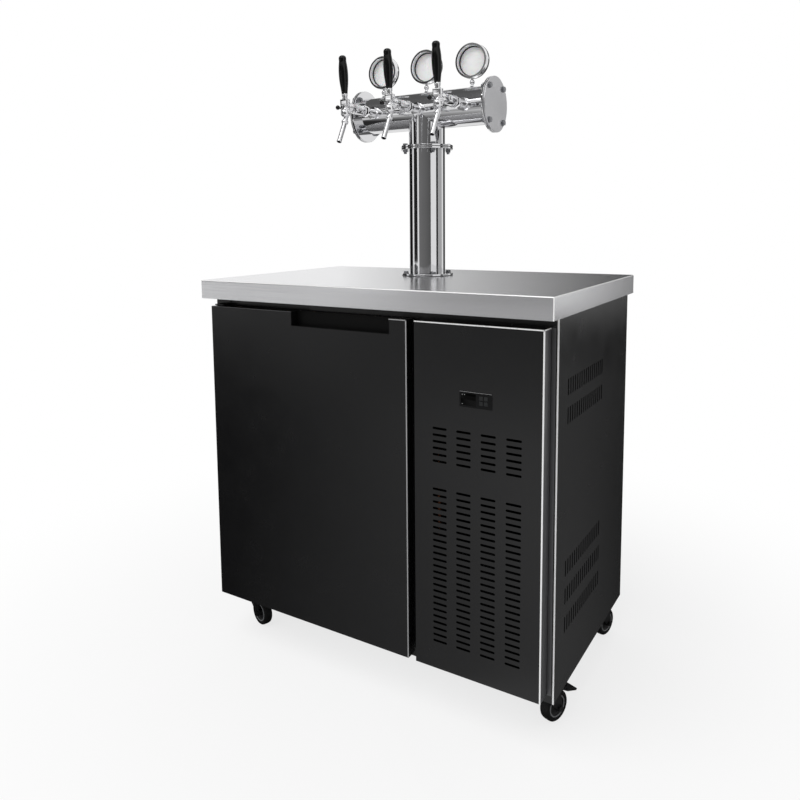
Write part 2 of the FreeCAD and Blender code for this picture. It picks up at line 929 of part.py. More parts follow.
# ---------------------------------------------------------------- fans
def fan_rotor(centre, radius):
    """Hub, pitched blades and the shaft that enters the motor behind."""
    hub = rod(centre - Y_AXIS * fan_hub_depth / 2, Y_AXIS, fan_hub_radius, fan_hub_depth)
    shaft = rod(centre, Y_AXIS, fan_shaft_radius, fan_shaft_length)
    swept = rod(centre - Y_AXIS * fan_blade_chord / 2, Y_AXIS, radius, fan_blade_chord)
    root = fan_hub_radius - fan_blade_root
    core = rod(centre - Y_AXIS * fan_blade_chord / 2, Y_AXIS, root, fan_blade_chord)
    blades = []
    for index in range(fan_blade_count):
        blade = box(
            root, radius, -fan_blade_sheet / 2, fan_blade_sheet / 2,
            -fan_blade_chord / 2, fan_blade_chord / 2,
        )
        blade.rotate(V(0, 0, 0), X_AXIS, fan_blade_pitch)
        blade.rotate(V(0, 0, 0), Y_AXIS, index * 360 / fan_blade_count)
        blade.translate(centre)
        blades.append(blade.common(swept).cut(core))
    return joined(hub, shaft, *blades)


def fan_motor(centre, radius, length, strap_reach, seat_y):
    """Motor can behind a rotor, on two straps whose feet stand on the plane at seat_y."""
    start = centre + Y_AXIS * (fan_hub_depth / 2 + fan_motor_gap)
    left = centre.x - strap_half
    right = centre.x + strap_half
    pieces = []
    for up in (1, -1):
        inner = centre.z + up * radius / 2
        outer = centre.z + up * strap_reach
        foot = outer - up * strap_sheet
        arm_back = start.y + strap_sheet
        pieces.append(box(left, right, start.y, arm_back, min(inner, outer), max(inner, outer)))
        near = min(start.y, seat_y)
        far = max(arm_back, seat_y)
        pieces.append(box(left, right, near, far, min(foot, outer), max(foot, outer)))
    bore = rod(centre, Y_AXIS, fan_shaft_radius + running_clearance, fan_shaft_length)
    return joined(rod(start, Y_AXIS, radius, length), *pieces).cut(bore)


# ---------------------------------------------------------------- cooling unit
def condenser_coil():
    x0 = condenser_x0 + coil_end
    x1 = condenser_x1 - coil_end
    block = box(condenser_x0, condenser_x1, condenser_y0, condenser_y1, tray_floor, condenser_z1)
    grooves = []
    for index in range(1, int((x1 - x0) / coil_groove_pitch)):
        x = x0 + index * coil_groove_pitch
        grooves.append(box(
            x, x + coil_groove, condenser_y0, condenser_y0 + coil_groove_depth,
            tray_floor + coil_end, condenser_z1 - coil_end,
        ))
    return block.cut(grooves)


def condenser_fan_centre():
    return V(cooling_middle, condenser_fan_y, condenser_fan_z)


def fan_shroud():
    sheet = shroud_sheet
    outer = box(condenser_x0, condenser_x1, condenser_y1, shroud_back, tray_floor, condenser_z1)
    inner = box(
        condenser_x0 + sheet, condenser_x1 - sheet, condenser_y1, shroud_back - sheet,
        tray_floor + sheet, condenser_z1 - sheet,
    )
    hole_start = V(cooling_middle, condenser_y1, condenser_fan_z)
    hole = rod(hole_start, Y_AXIS, fan_radius + fan_tip_gap, shroud_depth)
    return outer.cut([inner, hole])


def condenser_fan_motor():
    reach = condenser_height / 2 - strap_inset
    return fan_motor(condenser_fan_centre(), fan_motor_radius, fan_motor_length, reach, shroud_back)


def compressor():
    """Hermetic shell on its foot plate, with the terminal box and four rubber grommets."""
    profile = [
        (0, 0), (compressor_radius - compressor_base_inset, 0),
        (compressor_radius, compressor_base_rise),
        (compressor_radius, compressor_height - compressor_shoulder),
        (compressor_radius - compressor_crown_inset, compressor_height - compressor_crown),
        (compressor_top_radius, compressor_height), (0, compressor_height),
    ]
    x = cooling_middle
    y = compressor_y
    shell = revolved(profile, V(x, y, compressor_base_z))
    foot = box(
        x - compressor_radius, x + compressor_radius, y - compressor_radius, y + compressor_radius,
        compressor_foot_z, compressor_base_z,
    )
    seam_start = V(x, y, compressor_base_z + compressor_seam_rise)
    seam = rod(seam_start, Z_AXIS, compressor_radius + compressor_seam_proud, compressor_seam_width)
    terminal = box(
        x - compressor_radius - terminal_depth, x - compressor_radius / 2,
        y - terminal_width / 2, y + terminal_width / 2,
        compressor_base_z + terminal_rise, compressor_base_z + terminal_rise + terminal_height,
    )
    spread = compressor_radius - grommet_radius - grommet_inset
    grommets = [
        rod(V(x + dx, y + dy, tray_floor), Z_AXIS, grommet_radius, grommet_height)
        for dx in (-spread, spread) for dy in (-spread, spread)
    ]
    return [joined(shell, foot, seam, terminal)] + grommets


def refrigerant_lines():
    """Discharge pipe, suction pipe, and liquid pipe with its drier."""
    mid_y = (condenser_y0 + condenser_y1) / 2
    discharge_z = compressor_base_z + discharge_rise
    side_x = condenser_x1 + pipe_side_run
    discharge = bent_tube(
        [
            V(cooling_middle + compressor_radius, compressor_y, discharge_z),
            V(side_x, compressor_y, discharge_z),
            V(side_x, mid_y, discharge_z),
            V(condenser_x1, mid_y, discharge_z),
        ],
        pipe_radius, 0, pipe_bend,
    )
    wall_x = divider_right + pipe_wall_run
    suction = bent_tube(
        [
            V(coil_right, pipe_y, suction_z),
            V(wall_x, pipe_y, suction_z),
            V(wall_x, compressor_y, suction_z),
            V(cooling_middle, compressor_y, suction_z),
            V(cooling_middle, compressor_y, compressor_base_z + compressor_height),
        ],
        pipe_radius, 0, pipe_bend,
    )
    outlet_z = condenser_z1 - liquid_outlet_drop
    outlet_x = condenser_x0 - pipe_side_run
    liquid = bent_tube(
        [
            V(condenser_x0, mid_y, outlet_z),
            V(outlet_x, mid_y, outlet_z),
            V(outlet_x, mid_y, liquid_z),
            V(outlet_x, pipe_y, liquid_z),
            V(coil_right, pipe_y, liquid_z),
        ],
        liquid_pipe_radius, 0, liquid_pipe_bend,
    )
    drier = rod(V(outlet_x, mid_y, outlet_z + drier_rise), Z_AXIS, drier_radius, drier_length)
    return [discharge, suction, joined(liquid, drier)]


# ---------------------------------------------------------------- evaporator
def evaporator_fan_centre():
    return V(evaporator_fan_x, evaporator_fan_y, evaporator_fan_z)


def fan_guard_windows():
    """Ring-shaped openings with two crossed spokes left standing."""
    start = V(evaporator_fan_x, evaporator_y0, evaporator_fan_z)
    reach = guard_first + guard_rings * guard_pitch
    spokes = []
    for turn in (45, 135):
        spoke = box(-reach, reach, 0, evaporator_sheet, -guard_spoke, guard_spoke)
        spoke.rotate(V(0, 0, 0), Y_AXIS, turn)
        spoke.translate(start)
        spokes.append(spoke)
    windows = []
    for ring in range(guard_rings):
        inner = guard_first + ring * guard_pitch
        window = tube(start, Y_AXIS, inner + guard_opening, inner, evaporator_sheet)
        windows.append(window.cut(spokes))
    return windows


def evaporator_cover():
    sheet = evaporator_sheet
    outer = box(
        evaporator_x0, evaporator_x1, evaporator_y0, bay_back, evaporator_z0, evaporator_z1,
    )
    inner = box(
        evaporator_x0 + sheet, evaporator_x1 - sheet, evaporator_y0 + sheet, bay_back,
        evaporator_z0 + sheet, evaporator_z1 - sheet,
    )
    pipe_door = box(
        evaporator_x1 - sheet, evaporator_x1, coil_front, bay_back,
        liquid_z - pipe_spacing / 2, suction_z + pipe_spacing / 2,
    )
    outlets = []
    for row in range(outlet_rows):
        low = evaporator_z0 + outlet_first + row * outlet_pitch
        outlets.append(box(
            evaporator_x0 + outlet_inset, evaporator_x1 - outlet_inset,
            evaporator_y0, evaporator_y0 + sheet, low, low + outlet_width,
        ))
    return outer.cut([inner, pipe_door] + fan_guard_windows() + outlets)


def evaporator_coil():
    return box(
        evaporator_x0 + evaporator_sheet + evaporator_coil_gap, coil_right, coil_front, bay_back,
        evaporator_z0 + evaporator_coil_inset, evaporator_z1 - evaporator_coil_inset,
    )


def evaporator_fan_motor():
    length = coil_front - evaporator_fan_y - fan_hub_depth / 2 - fan_motor_gap
    return fan_motor(
        evaporator_fan_centre(), evaporator_motor_radius, length, evaporator_strap_reach, coil_front,
    )


# ---------------------------------------------------------------- casters
# A caster is drawn with its kingpin on the Z axis and its trail along +X, then turned.
def turned(shape, name):
    x, y = caster_places[name]
    shape.rotate(V(0, 0, 0), Z_AXIS, caster_turns[name])
    shape.translate(V(x, y, 0))
    return shape


def cross_rod(trail, height, radius, half_length):
    return rod(V(trail, -half_length, height), Y_AXIS, radius, 2 * half_length)


def caster_plate(name):
    x, y = caster_places[name]
    low = case_bottom - caster_plate_thickness
    plate = box(
        x - caster_plate_length / 2, x + caster_plate_length / 2,
        y - caster_plate_width / 2, y + caster_plate_width / 2, low, case_bottom,
    )
    corners = [edge for edge in plate.Edges if edge.BoundBox.ZLength > caster_plate_thickness / 2]
    plate = plate.makeFillet(caster_plate_corner, corners)
    head_top = fork_crown - swing_clearance
    pin = rod(V(x, y, head_top), Z_AXIS, kingpin_radius, low - head_top)
    head_start = V(x, y, head_top - kingpin_head_height)
    head = rod(head_start, Z_AXIS, kingpin_head_radius, kingpin_head_height)
    return joined(plate, pin, head)


def fork_cheek(side):
    """One cheek of the fork with its axle boss."""
    inner = fork_gap / 2
    start_y = inner if side > 0 else -inner - fork_sheet
    top = fork_crown + fork_sheet
    outline = [
        (-fork_tail, top), (fork_nose, top), (fork_nose, brake_pivot_z - axle_boss_radius),
        (fork_trail + axle_boss_radius, wheel_z), (fork_trail - axle_boss_radius, wheel_z),
        (-fork_tail, top - fork_cheek_depth),
    ]
    cheek = extruded([V(trail, start_y, height) for trail, height in outline], Y_AXIS * fork_sheet)
    boss = rod(V(fork_trail, start_y, wheel_z), Y_AXIS, axle_boss_radius, fork_sheet)
    return joined(cheek, boss)


def caster_fork(name):
    half = fork_gap / 2 + fork_sheet
    crown = box(-fork_tail, fork_nose, -half, half, fork_crown, fork_crown + fork_sheet)
    cup = rod(V(0, 0, fork_crown), Z_AXIS, fork_cup_radius, fork_cup_height)
    solid = joined(crown, cup, fork_cheek(1), fork_cheek(-1))
    holes = [
        rod(V(0, 0, fork_crown), Z_AXIS, kingpin_radius + running_clearance, fork_cup_height),
        cross_rod(fork_trail, wheel_z, axle_radius, half),
        cross_rod(brake_pivot_s, brake_pivot_z, brake_pin_radius + running_clearance, half),
    ]
    axle = joined(
        cross_rod(fork_trail, wheel_z, axle_radius, half),
        hexagon(V(fork_trail, half, wheel_z), Y_AXIS, axle_nut_radius, axle_nut_height),
        hexagon(V(fork_trail, -half, wheel_z), Y_AXIS * -1, axle_nut_radius, axle_nut_height),
    )
    return [turned(solid.cut(holes), name), turned(axle, name)]


def caster_wheel(name):
    """Rubber tyre on a dished plastic hub."""
    half = wheel_width / 2
    tyre = cross_rod(fork_trail, wheel_z, wheel_radius, half)
    rims = [edge for edge in tyre.Edges if edge.BoundBox.YLength < tyre_round]
    tyre = tyre.makeFillet(tyre_round, rims).cut(cross_rod(fork_trail, wheel_z, hub_radius, half))
    hub_half = half - hub_step
    boss_radius = axle_radius + hub_boss_wall
    dishes = [
        tube(V(fork_trail, start, wheel_z), Y_AXIS, hub_radius - hub_rim, boss_radius, hub_dish)
        for start in (hub_half - hub_dish, -hub_half)
    ]
    boss = cross_rod(fork_trail, wheel_z, boss_radius, fork_gap / 2 - swing_clearance)
    hub = joined(cross_rod(fork_trail, wheel_z, hub_radius, hub_half).cut(dishes), boss)
    hub = hub.cut(cross_rod(fork_trail, wheel_z, axle_radius + running_clearance, fork_gap / 2))
    return [turned(tyre, name), turned(hub, name)]


def caster_brake(name):
    """Foot pedal on a cross pin: a shoe over the wheel and a flared tread plate."""
    inner = fork_gap / 2 - swing_clearance
    hub = cross_rod(brake_pivot_s, brake_pivot_z, brake_pin_radius + brake_hub_wall, inner)
    pin = cross_rod(brake_pivot_s, brake_pivot_z, brake_pin_radius, fork_gap / 2 + fork_sheet)
    knee_s = fork_trail + brake_knee
    knee_z = wheel_z + brake_knee_rise
    tip_z = knee_z - brake_tip_drop
    outline = [
        (brake_pivot_s, brake_pivot_z + brake_sheet), (knee_s, knee_z), (brake_reach, tip_z),
        (brake_reach, tip_z - brake_sheet), (knee_s, knee_z - brake_sheet),
        (brake_pivot_s, brake_pivot_z - brake_sheet),
    ]
    narrow = extruded([V(s, -inner, z) for s, z in outline], Y_AXIS * 2 * inner)
    half_tip = brake_tip_width / 2
    wide = extruded([V(s, -half_tip, z) for s, z in outline], Y_AXIS * brake_tip_width)
    corner_s = brake_reach - brake_tip_corner
    corner_y = half_tip - brake_tip_corner
    plan = [
        (knee_s, -inner), (corner_s, -half_tip), (brake_reach, -corner_y),
        (brake_reach, corner_y), (corner_s, half_tip), (knee_s, inner),
    ]
    tread = wide.common(extruded([V(s, y, 0) for s, y in plan], Z_AXIS * case_bottom))
    wheel_space = cross_rod(fork_trail, wheel_z, wheel_radius + brake_clearance, half_tip)
    return turned(joined(narrow, tread, hub, pin).cut(wheel_space), name)


# ---------------------------------------------------------------- tower
def flange(centre, axis):
    disc = rod(centre, axis, flange_radius, flange_thickness)
    return disc.makeFillet(flange_edge, disc.Edges)


def bolt_holes(centre, axis, start_side, length):
    return [rod(place, axis, bolt_hole_radius, length) for place in bolt_places(centre, axis, start_side)]


def tower_point(height):
    return V(tower_x, tower_y, height)


def tower_column():
    foot = tower_point(column_base)
    upper_flange = tower_point(column_top - flange_thickness)
    length = column_top - column_base
    solid = joined(
        rod(foot, Z_AXIS, tube_radius, length), flange(foot, Z_AXIS), flange(upper_flange, Z_AXIS),
    )
    cuts = [rod(foot, Z_AXIS, tube_bore, length)]
    for start in (foot, upper_flange):
        cuts += bolt_holes(start, Z_AXIS, V(1, 1, 0), flange_thickness)
    return solid.cut(cuts)


def tower_head():
    """The tee: a stub with its flange below and the cross tube with a flange at each end."""
    base = tower_point(head_base)
    stub_length = tee_z - head_base
    left_end = V(tower_x - end_gasket_reach, tower_y, tee_z)
    right_flange = V(tower_x + end_gasket_reach - flange_thickness, tower_y, tee_z)
    length = 2 * end_gasket_reach
    solid = joined(
        rod(base, Z_AXIS, tube_radius, stub_length), rod(left_end, X_AXIS, tube_radius, length),
        flange(base, Z_AXIS), flange(left_end, X_AXIS), flange(right_flange, X_AXIS),
    )
    cuts = [
        rod(base, Z_AXIS, tube_bore, stub_length),
        rod(left_end, X_AXIS, tube_bore, length),
    ]
    cuts += bolt_holes(base, Z_AXIS, V(1, 1, 0), flange_thickness)
    cuts += bolt_holes(left_end, X_AXIS, V(0, 1, 1), flange_thickness)
    cuts += bolt_holes(right_flange, X_AXIS, V(0, 1, 1), flange_thickness)
    for x in tap_places.values():
        front = V(x, tower_y - tube_radius, tee_z)
        cuts.append(rod(front, Y_AXIS, shank_radius + hole_clearance, tube_radius))
        stud_hole = medallion_stud_radius + hole_clearance
        cuts.append(rod(V(x, tower_y, tee_z), Z_AXIS, stud_hole, tube_radius))
    return solid.cut(cuts)


def tower_end_plates():
    plates = []
    for start_x in (tower_x - tee_half_length, tower_x + tee_half_length - flange_thickness):
        place = V(start_x, tower_y, tee_z)
        plates.append(flange(place, X_AXIS).cut(bolt_holes(place, X_AXIS, V(0, 1, 1), flange_thickness)))
    return plates


def gasket_ring(centre, axis, start_side):
    ring = tube(centre, axis, flange_radius - flange_edge, tube_bore, tower_gasket_thickness)
    return ring.cut(bolt_holes(centre, axis, start_side, tower_gasket_thickness))


def tower_gaskets():
    left_x = tower_x - end_gasket_reach - tower_gasket_thickness
    return [
        gasket_ring(tower_point(worktop_top), Z_AXIS, V(1, 1, 0)),
        gasket_ring(tower_point(column_top), Z_AXIS, V(1, 1, 0)),
        gasket_ring(V(tower_x + end_gasket_reach, tower_y, tee_z), X_AXIS, V(0, 1, 1)),
        gasket_ring(V(left_x, tower_y, tee_z), X_AXIS, V(0, 1, 1)),
    ]


def bolt(place, axis, length):
    """A hexagon bolt whose head seats at place and whose shank runs against the axis."""
    return joined(
        hexagon(place, axis, bolt_head_radius, bolt_head_height),
        rod(place, axis, bolt_head_radius + bolt_washer_margin, bolt_washer),
        rod(place - axis * length, axis, bolt_radius, length),
    )


def nut(place, axis):
    """A hexagon nut on the far side of a flange joint from the bolt head at place."""
    start = place - axis * (joint_grip + bolt_head_height)
    body = hexagon(start, axis, bolt_head_radius, bolt_head_height)
    return body.cut(rod(start, axis, bolt_radius + running_clearance, bolt_head_height))


def tower_fasteners():
    length = base_bolt_hole_depth - base_bolt_hole_spare + tower_gasket_thickness + flange_thickness
    seat = tower_point(column_base + flange_thickness)
    solids = [bolt(place, Z_AXIS, length) for place in bolt_places(seat, Z_AXIS, V(1, 1, 0))]
    joints = [(tower_point(head_base + flange_thickness), Z_AXIS, V(1, 1, 0))]
    for side in (1, -1):
        centre = V(tower_x + side * tee_half_length, tower_y, tee_z)
        joints.append((centre, X_AXIS * side, V(0, 1, 1)))
    for centre, axis, start_side in joints:
        for place in bolt_places(centre, axis, start_side):
            solids.append(bolt(place, axis, joint_grip + bolt_head_height + bolt_end))
            solids.append(nut(place, axis))
    return solids


# ---------------------------------------------------------------- beer lines
def beer_line(x, side):
    """From the shank tail into the tee, along it to the column, and down to its union."""
    down_x = tower_x + side * line_pitch
    down_y = tower_y + line_offset_y
    points = [V(x, tower_y - shank_inner_reach, tee_z), V(x, down_y, tee_z)]
    if side:
        points.append(V(down_x, down_y, tee_z))
    points.append(V(down_x, down_y, bay_top + union_rise))
    return bent_tube(points, line_radius, line_bore, line_bend)


def line_unions():
    plate_start = tower_point(bay_top - union_plate_thickness)
    plate = rod(plate_start, Z_AXIS, passage_radius + union_plate_margin, union_plate_thickness)
    bodies = []
    bores = []
    for side in (-1, 0, 1):
        foot = V(
            tower_x + side * line_pitch, tower_y + line_offset_y, bay_top + union_rise - union_length,
        )
        bodies.append(rod(foot, Z_AXIS, union_radius, union_length))
        bores.append(rod(foot, Z_AXIS, union_bore, union_length))
    return joined(plate, *bodies).cut(bores)


# ---------------------------------------------------------------- taps
def reach_point(x, reach, rise=0.0):
    """A point in front of the tee at a distance from its axis."""
    return V(x, tower_y - reach, tee_z + rise)


def faucet_shank(x):
    stem_length = shank_end_reach - shank_inner_reach
    stem = rod(reach_point(x, shank_end_reach), Y_AXIS, shank_radius, stem_length)
    nut_start = reach_point(x, escutcheon_reach + escutcheon_nut)
    lock_nut = hexagon(nut_start, Y_AXIS, escutcheon_radius, escutcheon_nut)
    collar = rod(reach_point(x, escutcheon_reach), Y_AXIS, escutcheon_radius, escutcheon_reach / 2)
    tee_start = V(tower_x - tee_half_length, tower_y, tee_z)
    tee = rod(tee_start, X_AXIS, tube_radius + swing_clearance, 2 * tee_half_length)
    stub = rod(tower_point(column_top), Z_AXIS, tube_radius + swing_clearance, tee_z - column_top)
    solid = joined(stem, lock_nut, collar.cut([tee, stub]))
    return solid.cut(rod(reach_point(x, shank_end_reach), Y_AXIS, line_bore, stem_length))


def spout_way():
    tilt = math.radians(spout_tilt)
    return V(0, -math.sin(tilt), -math.cos(tilt))


def spout_start(x):
    return reach_point(x, pivot_reach - spout_set_back, spout_rise - tap_head_bottom)


def flow_centre(x):
    return reach_point(x, flow_reach) - X_AXIS * (barrel_radius + flow_seat_proud + swing_clearance)


def faucet_body(x):
    """Coupling nut, barrel, upright head with the lever boss, and the leaning spout."""
    half = pivot_boss_width / 2
    half_coupling = coupling_length / 2
    head_top = pivot_rise - pivot_boss_radius - yoke_relief
    head_start = reach_point(x, pivot_reach, -tap_head_bottom)
    flow_seat_start = reach_point(x, flow_reach) - X_AXIS * (barrel_radius + flow_seat_proud)
    collar_start = spout_start(x) + spout_way() * spout_collar_place
    collar_radius = spout_radius + spout_collar_proud
    pieces = [
        hexagon(reach_point(x, barrel_start_reach - half_coupling), Y_AXIS, coupling_radius, half_coupling),
        rod(reach_point(x, barrel_start_reach), Y_AXIS, coupling_radius, half_coupling),
        rod(reach_point(x, barrel_end_reach), Y_AXIS, barrel_radius, barrel_length),
        box(
            x - half, x + half, pivot_y, pivot_y + tap_neck_length,
            tee_z - pivot_boss_radius, tee_z + pivot_boss_radius,
        ),
        rod(head_start, Z_AXIS, tap_head_radius, tap_head_bottom + head_top),
        rod(V(x - half, pivot_y, pivot_z), X_AXIS, pivot_boss_radius, pivot_boss_width),
        box(
            x - half, x + half, pivot_y - pivot_boss_radius, pivot_y + pivot_boss_radius,
            tee_z + head_top, pivot_z,
        ),
        rod(spout_start(x), spout_way(), spout_radius, spout_length),
        rod(collar_start, spout_way(), collar_radius, spout_collar_width),
        rod(flow_seat_start, X_AXIS, flow_hub_radius, barrel_radius + flow_seat_proud),
        hexagon(reach_point(x, flow_reach), X_AXIS, flow_cap_radius, barrel_radius + flow_cap_length),
    ]
    bore_start = spout_start(x) + spout_way() * spout_rise
    pin_hole = pivot_pin_radius + running_clearance
    cuts = [
        rod(V(x - half, pivot_y, pivot_z), X_AXIS, pin_hole, pivot_boss_width),
        rod(bore_start, spout_way(), spout_bore, spout_length - spout_rise),
        rod(flow_centre(x), X_AXIS, flow_stem_radius + running_clearance, flow_stem),
    ]
    return joined(*pieces).cut(cuts)


def flow_lever(x):
    """Flow-control lever: hub on the side of the barrel, rod towards the front, ball knob."""
    centre = flow_centre(x)
    arm_start = centre - X_AXIS * (flow_hub_width / 2)
    ball = Part.makeSphere(flow_ball_radius)
    ball.translate(arm_start - Y_AXIS * (flow_hub_radius + flow_rod_length))
    return joined(
        rod(centre - X_AXIS * flow_hub_width, X_AXIS, flow_hub_radius, flow_hub_width),
        rod(centre, X_AXIS, flow_stem_radius, flow_stem),
        rod(arm_start, Y_AXIS * -1, flow_rod_radius, flow_hub_radius + flow_rod_length),
        ball,
    )


def grip_shape():
    """Bullet-shaped grip, widest at half its height, with a domed top."""
    shoulder = grip_length - grip_top_radius
    foot = V(grip_bottom_radius, 0, 0)
    rim = V(grip_top_radius, 0, shoulder)
    swell = Part.BSplineCurve()
    swell.interpolate([foot, V(grip_widest_radius, 0, grip_length / 2), rim])
    outline = Part.Wire([
        Part.LineSegment(V(0, 0, 0), foot).toShape(),
        swell.toShape(),
        Part.LineSegment(rim, V(0, 0, shoulder)).toShape(),
        Part.LineSegment(V(0, 0, shoulder), V(0, 0, 0)).toShape(),
    ])
    dome = Part.makeSphere(grip_top_radius)
    dome.translate(V(0, 0, shoulder))
    return joined(Part.Face(outline).revolve(V(0, 0, 0), Z_AXIS, 360), dome)


def tap_handle(x):
    """Yoke with its pin and ferrule, and the moulded grip on top, leaning to the front."""
    pivot = V(x, pivot_y, pivot_z)
    inner = pivot_boss_width / 2 + swing_clearance
    outer = inner + yoke_arm
    arch = pivot_boss_radius + yoke_relief
    top = arch + yoke_bridge
    block = box(
        x - outer, x + outer, pivot_y - yoke_half_depth, pivot_y + yoke_half_depth,
        pivot_z, pivot_z + top,
    )
    cheeks = rod(pivot - X_AXIS * outer, X_AXIS, pivot_boss_radius - yoke_relief, 2 * outer)
    space = rod(pivot - X_AXIS * inner, X_AXIS, arch, 2 * inner)
    pin = rod(pivot - X_AXIS * outer, X_AXIS, pivot_pin_radius, 2 * outer)
    ferrule = Part.makeCone(
        ferrule_radius, grip_bottom_radius, ferrule_length, pivot + Z_AXIS * top, Z_AXIS,
    )
    lever = joined(joined(block, cheeks).cut(space), pin, ferrule)
    grip = grip_shape()
    grip.translate(pivot + Z_AXIS * (top + ferrule_length))
    for solid in (lever, grip):
        solid.rotate(pivot, X_AXIS, handle_tilt)
    return [lever, grip]


# ---------------------------------------------------------------- medallions
def medallion(x):
    """Deep hoop on a stud with a ball. A disc lies at the foot of its recess, before a back plate."""
    front = V(x, tower_y - medallion_depth / 2, medallion_z)
    tee_top = tee_z + tube_radius
    ring = tube(front, Y_AXIS, medallion_radius, medallion_radius - medallion_wall, medallion_depth)
    lip = tube(
        front, Y_AXIS, medallion_radius, medallion_radius - medallion_lip, medallion_recess,
    )
    stud_start = V(x, tower_y, tee_top - tube_wall)
    stud_length = tube_wall + medallion_stand + medallion_wall / 2
    stud = rod(stud_start, Z_AXIS, medallion_stud_radius, stud_length)
    foot = Part.makeCone(
        medallion_foot_radius, medallion_stud_radius, medallion_foot_height, stud_start, Z_AXIS,
    )
    tee_start = V(x - medallion_radius, tower_y, tee_z)
    tee = rod(tee_start, X_AXIS, tube_radius + running_clearance, 2 * medallion_radius)
    ball = Part.makeSphere(medallion_ball_radius)
    ball.translate(V(x, tower_y, tee_top + medallion_ball_rise))
    frame = joined(ring, lip, stud, foot.cut(tee), ball)
    fit = medallion_radius - medallion_wall - hole_clearance
    disc_start = front + Y_AXIS * medallion_recess
    disc = rod(disc_start, Y_AXIS, fit, medallion_disc)
    back_start = front + Y_AXIS * (medallion_depth - medallion_back)
    back = rod(back_start, Y_AXIS, fit, medallion_back)
    return [frame, disc, back]


# ---------------------------------------------------------------- write every sub-part
def write_case():
    sheet, core = worktop_shapes()
    save("worktop", sheet)
    save("worktop_core", core)
    save("base_tray", base_tray())
    save("outer_wrapper", outer_wrapper())
    save("insulation_foam", insulation_foam())
    save("inner_liner", inner_liner())
    save("front_frame", *front_frame())
    save("right_side_panel", right_side_panel())
    save("rear_grille_panel", rear_grille_panel())
    save("cord_gland", cord_gland())
    save("front_grille_panel", *front_grille_panel())
    save("controller_housing", controller_housing())
    for number, place in enumerate(key_places(), 1):
        save("controller_key_" + str(number), controller_key(place))


def write_door():
    save("door_skin", door_skin())
    save("door_foam", door_foam())
    save("door_liner", door_liner())
    save("door_gasket", door_gasket())
    save("handle_pocket", handle_pocket())
    save("hinge_bushes", *hinge_bushes())
    save("hinge_brackets", hinge_bracket(door_top, 1), hinge_bracket(door_bottom, -1))


def write_cooling():
    save("condenser_coil", condenser_coil())
    save("fan_shroud", fan_shroud())
    save("condenser_fan_blade", fan_rotor(condenser_fan_centre(), fan_radius))
    save("condenser_fan_motor", condenser_fan_motor())
    save("compressor", *compressor())
    save("refrigerant_lines", *refrigerant_lines())
    save("evaporator_cover", evaporator_cover())
    save("evaporator_coil", evaporator_coil())
    save("evaporator_fan_blade", fan_rotor(evaporator_fan_centre(), evaporator_fan_radius))
    save("evaporator_fan_motor", evaporator_fan_motor())


def write_casters():
    save("caster_plates", *[caster_plate(name) for name in caster_places])
    for name in caster_places:
        save("caster_fork_" + name, *caster_fork(name))
        save("caster_wheel_" + name, *caster_wheel(name))
    for name in braked_casters:
        save("caster_brake_" + name, caster_brake(name))


def write_tower():
    save("tower_column", tower_column())
    save("tower_head", tower_head())
    save("tower_end_plates", *tower_end_plates())
    save("tower_gaskets", *tower_gaskets())
    save("tower_fasteners", *tower_fasteners())
    sides = zip(tap_places.values(), (-1, 0, 1))
    save("beer_lines", *[beer_line(x, side) for x, side in sides])
    save("line_unions", line_unions())
    save("faucet_shanks", *[faucet_shank(x) for x in tap_places.values()])
    save("faucet_bodies", *[faucet_body(x) for x in tap_places.values()])
    medallions = []
    for x in tap_places.values():
        medallions += medallion(x)
    save("medallions", *medallions)
    for name, x in tap_places.items():
        save("tap_handle_" + name, *tap_handle(x))
        save("flow_lever_" + name, flow_lever(x))


os.makedirs("parts", exist_ok=True)
write_case()
write_door()
write_cooling()
write_casters()
write_tower()
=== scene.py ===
# %% [markdown]
# A keg cooler with a three-tap tower.
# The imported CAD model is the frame: every node of it already has its size and its place.
# This lesson gives each of them a real finish, and models anew the pieces that plain
# cylinders show too coarsely: tyres, hubs, grips, knobs and collars.
# Everything is in metres, +Z is up and the front of the cooler faces -Y.

# %% Load the frame
import bpy
import math
from mathutils import Matrix, Vector


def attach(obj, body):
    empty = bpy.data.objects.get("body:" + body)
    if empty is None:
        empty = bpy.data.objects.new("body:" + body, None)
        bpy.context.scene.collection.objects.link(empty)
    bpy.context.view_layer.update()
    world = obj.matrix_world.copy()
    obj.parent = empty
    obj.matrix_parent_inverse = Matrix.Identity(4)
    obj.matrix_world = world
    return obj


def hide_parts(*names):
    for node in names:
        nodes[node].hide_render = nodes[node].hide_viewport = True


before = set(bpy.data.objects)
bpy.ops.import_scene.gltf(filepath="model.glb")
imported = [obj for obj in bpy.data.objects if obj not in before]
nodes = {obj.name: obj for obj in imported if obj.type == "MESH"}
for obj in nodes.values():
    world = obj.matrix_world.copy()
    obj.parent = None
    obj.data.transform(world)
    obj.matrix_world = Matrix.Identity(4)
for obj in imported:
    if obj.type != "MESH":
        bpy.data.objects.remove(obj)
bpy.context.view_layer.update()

bpy.ops.object.select_all(action="DESELECT")

# %% [markdown]
# The camera is described as a photographer would: where it stands, how far it is turned
# from straight ahead, how far it looks down and how much it leans. Three perpendicular
# vectors then make its rotation. A small shift moves the picture on the sensor, so that
# the upright edges stay nearly upright.

# %% Camera
camera_position = Vector((0.9971, -1.7591, 1.1843))
camera_yaw = math.radians(32.46)
camera_pitch = math.radians(6.24)
camera_lean = math.radians(-0.65)

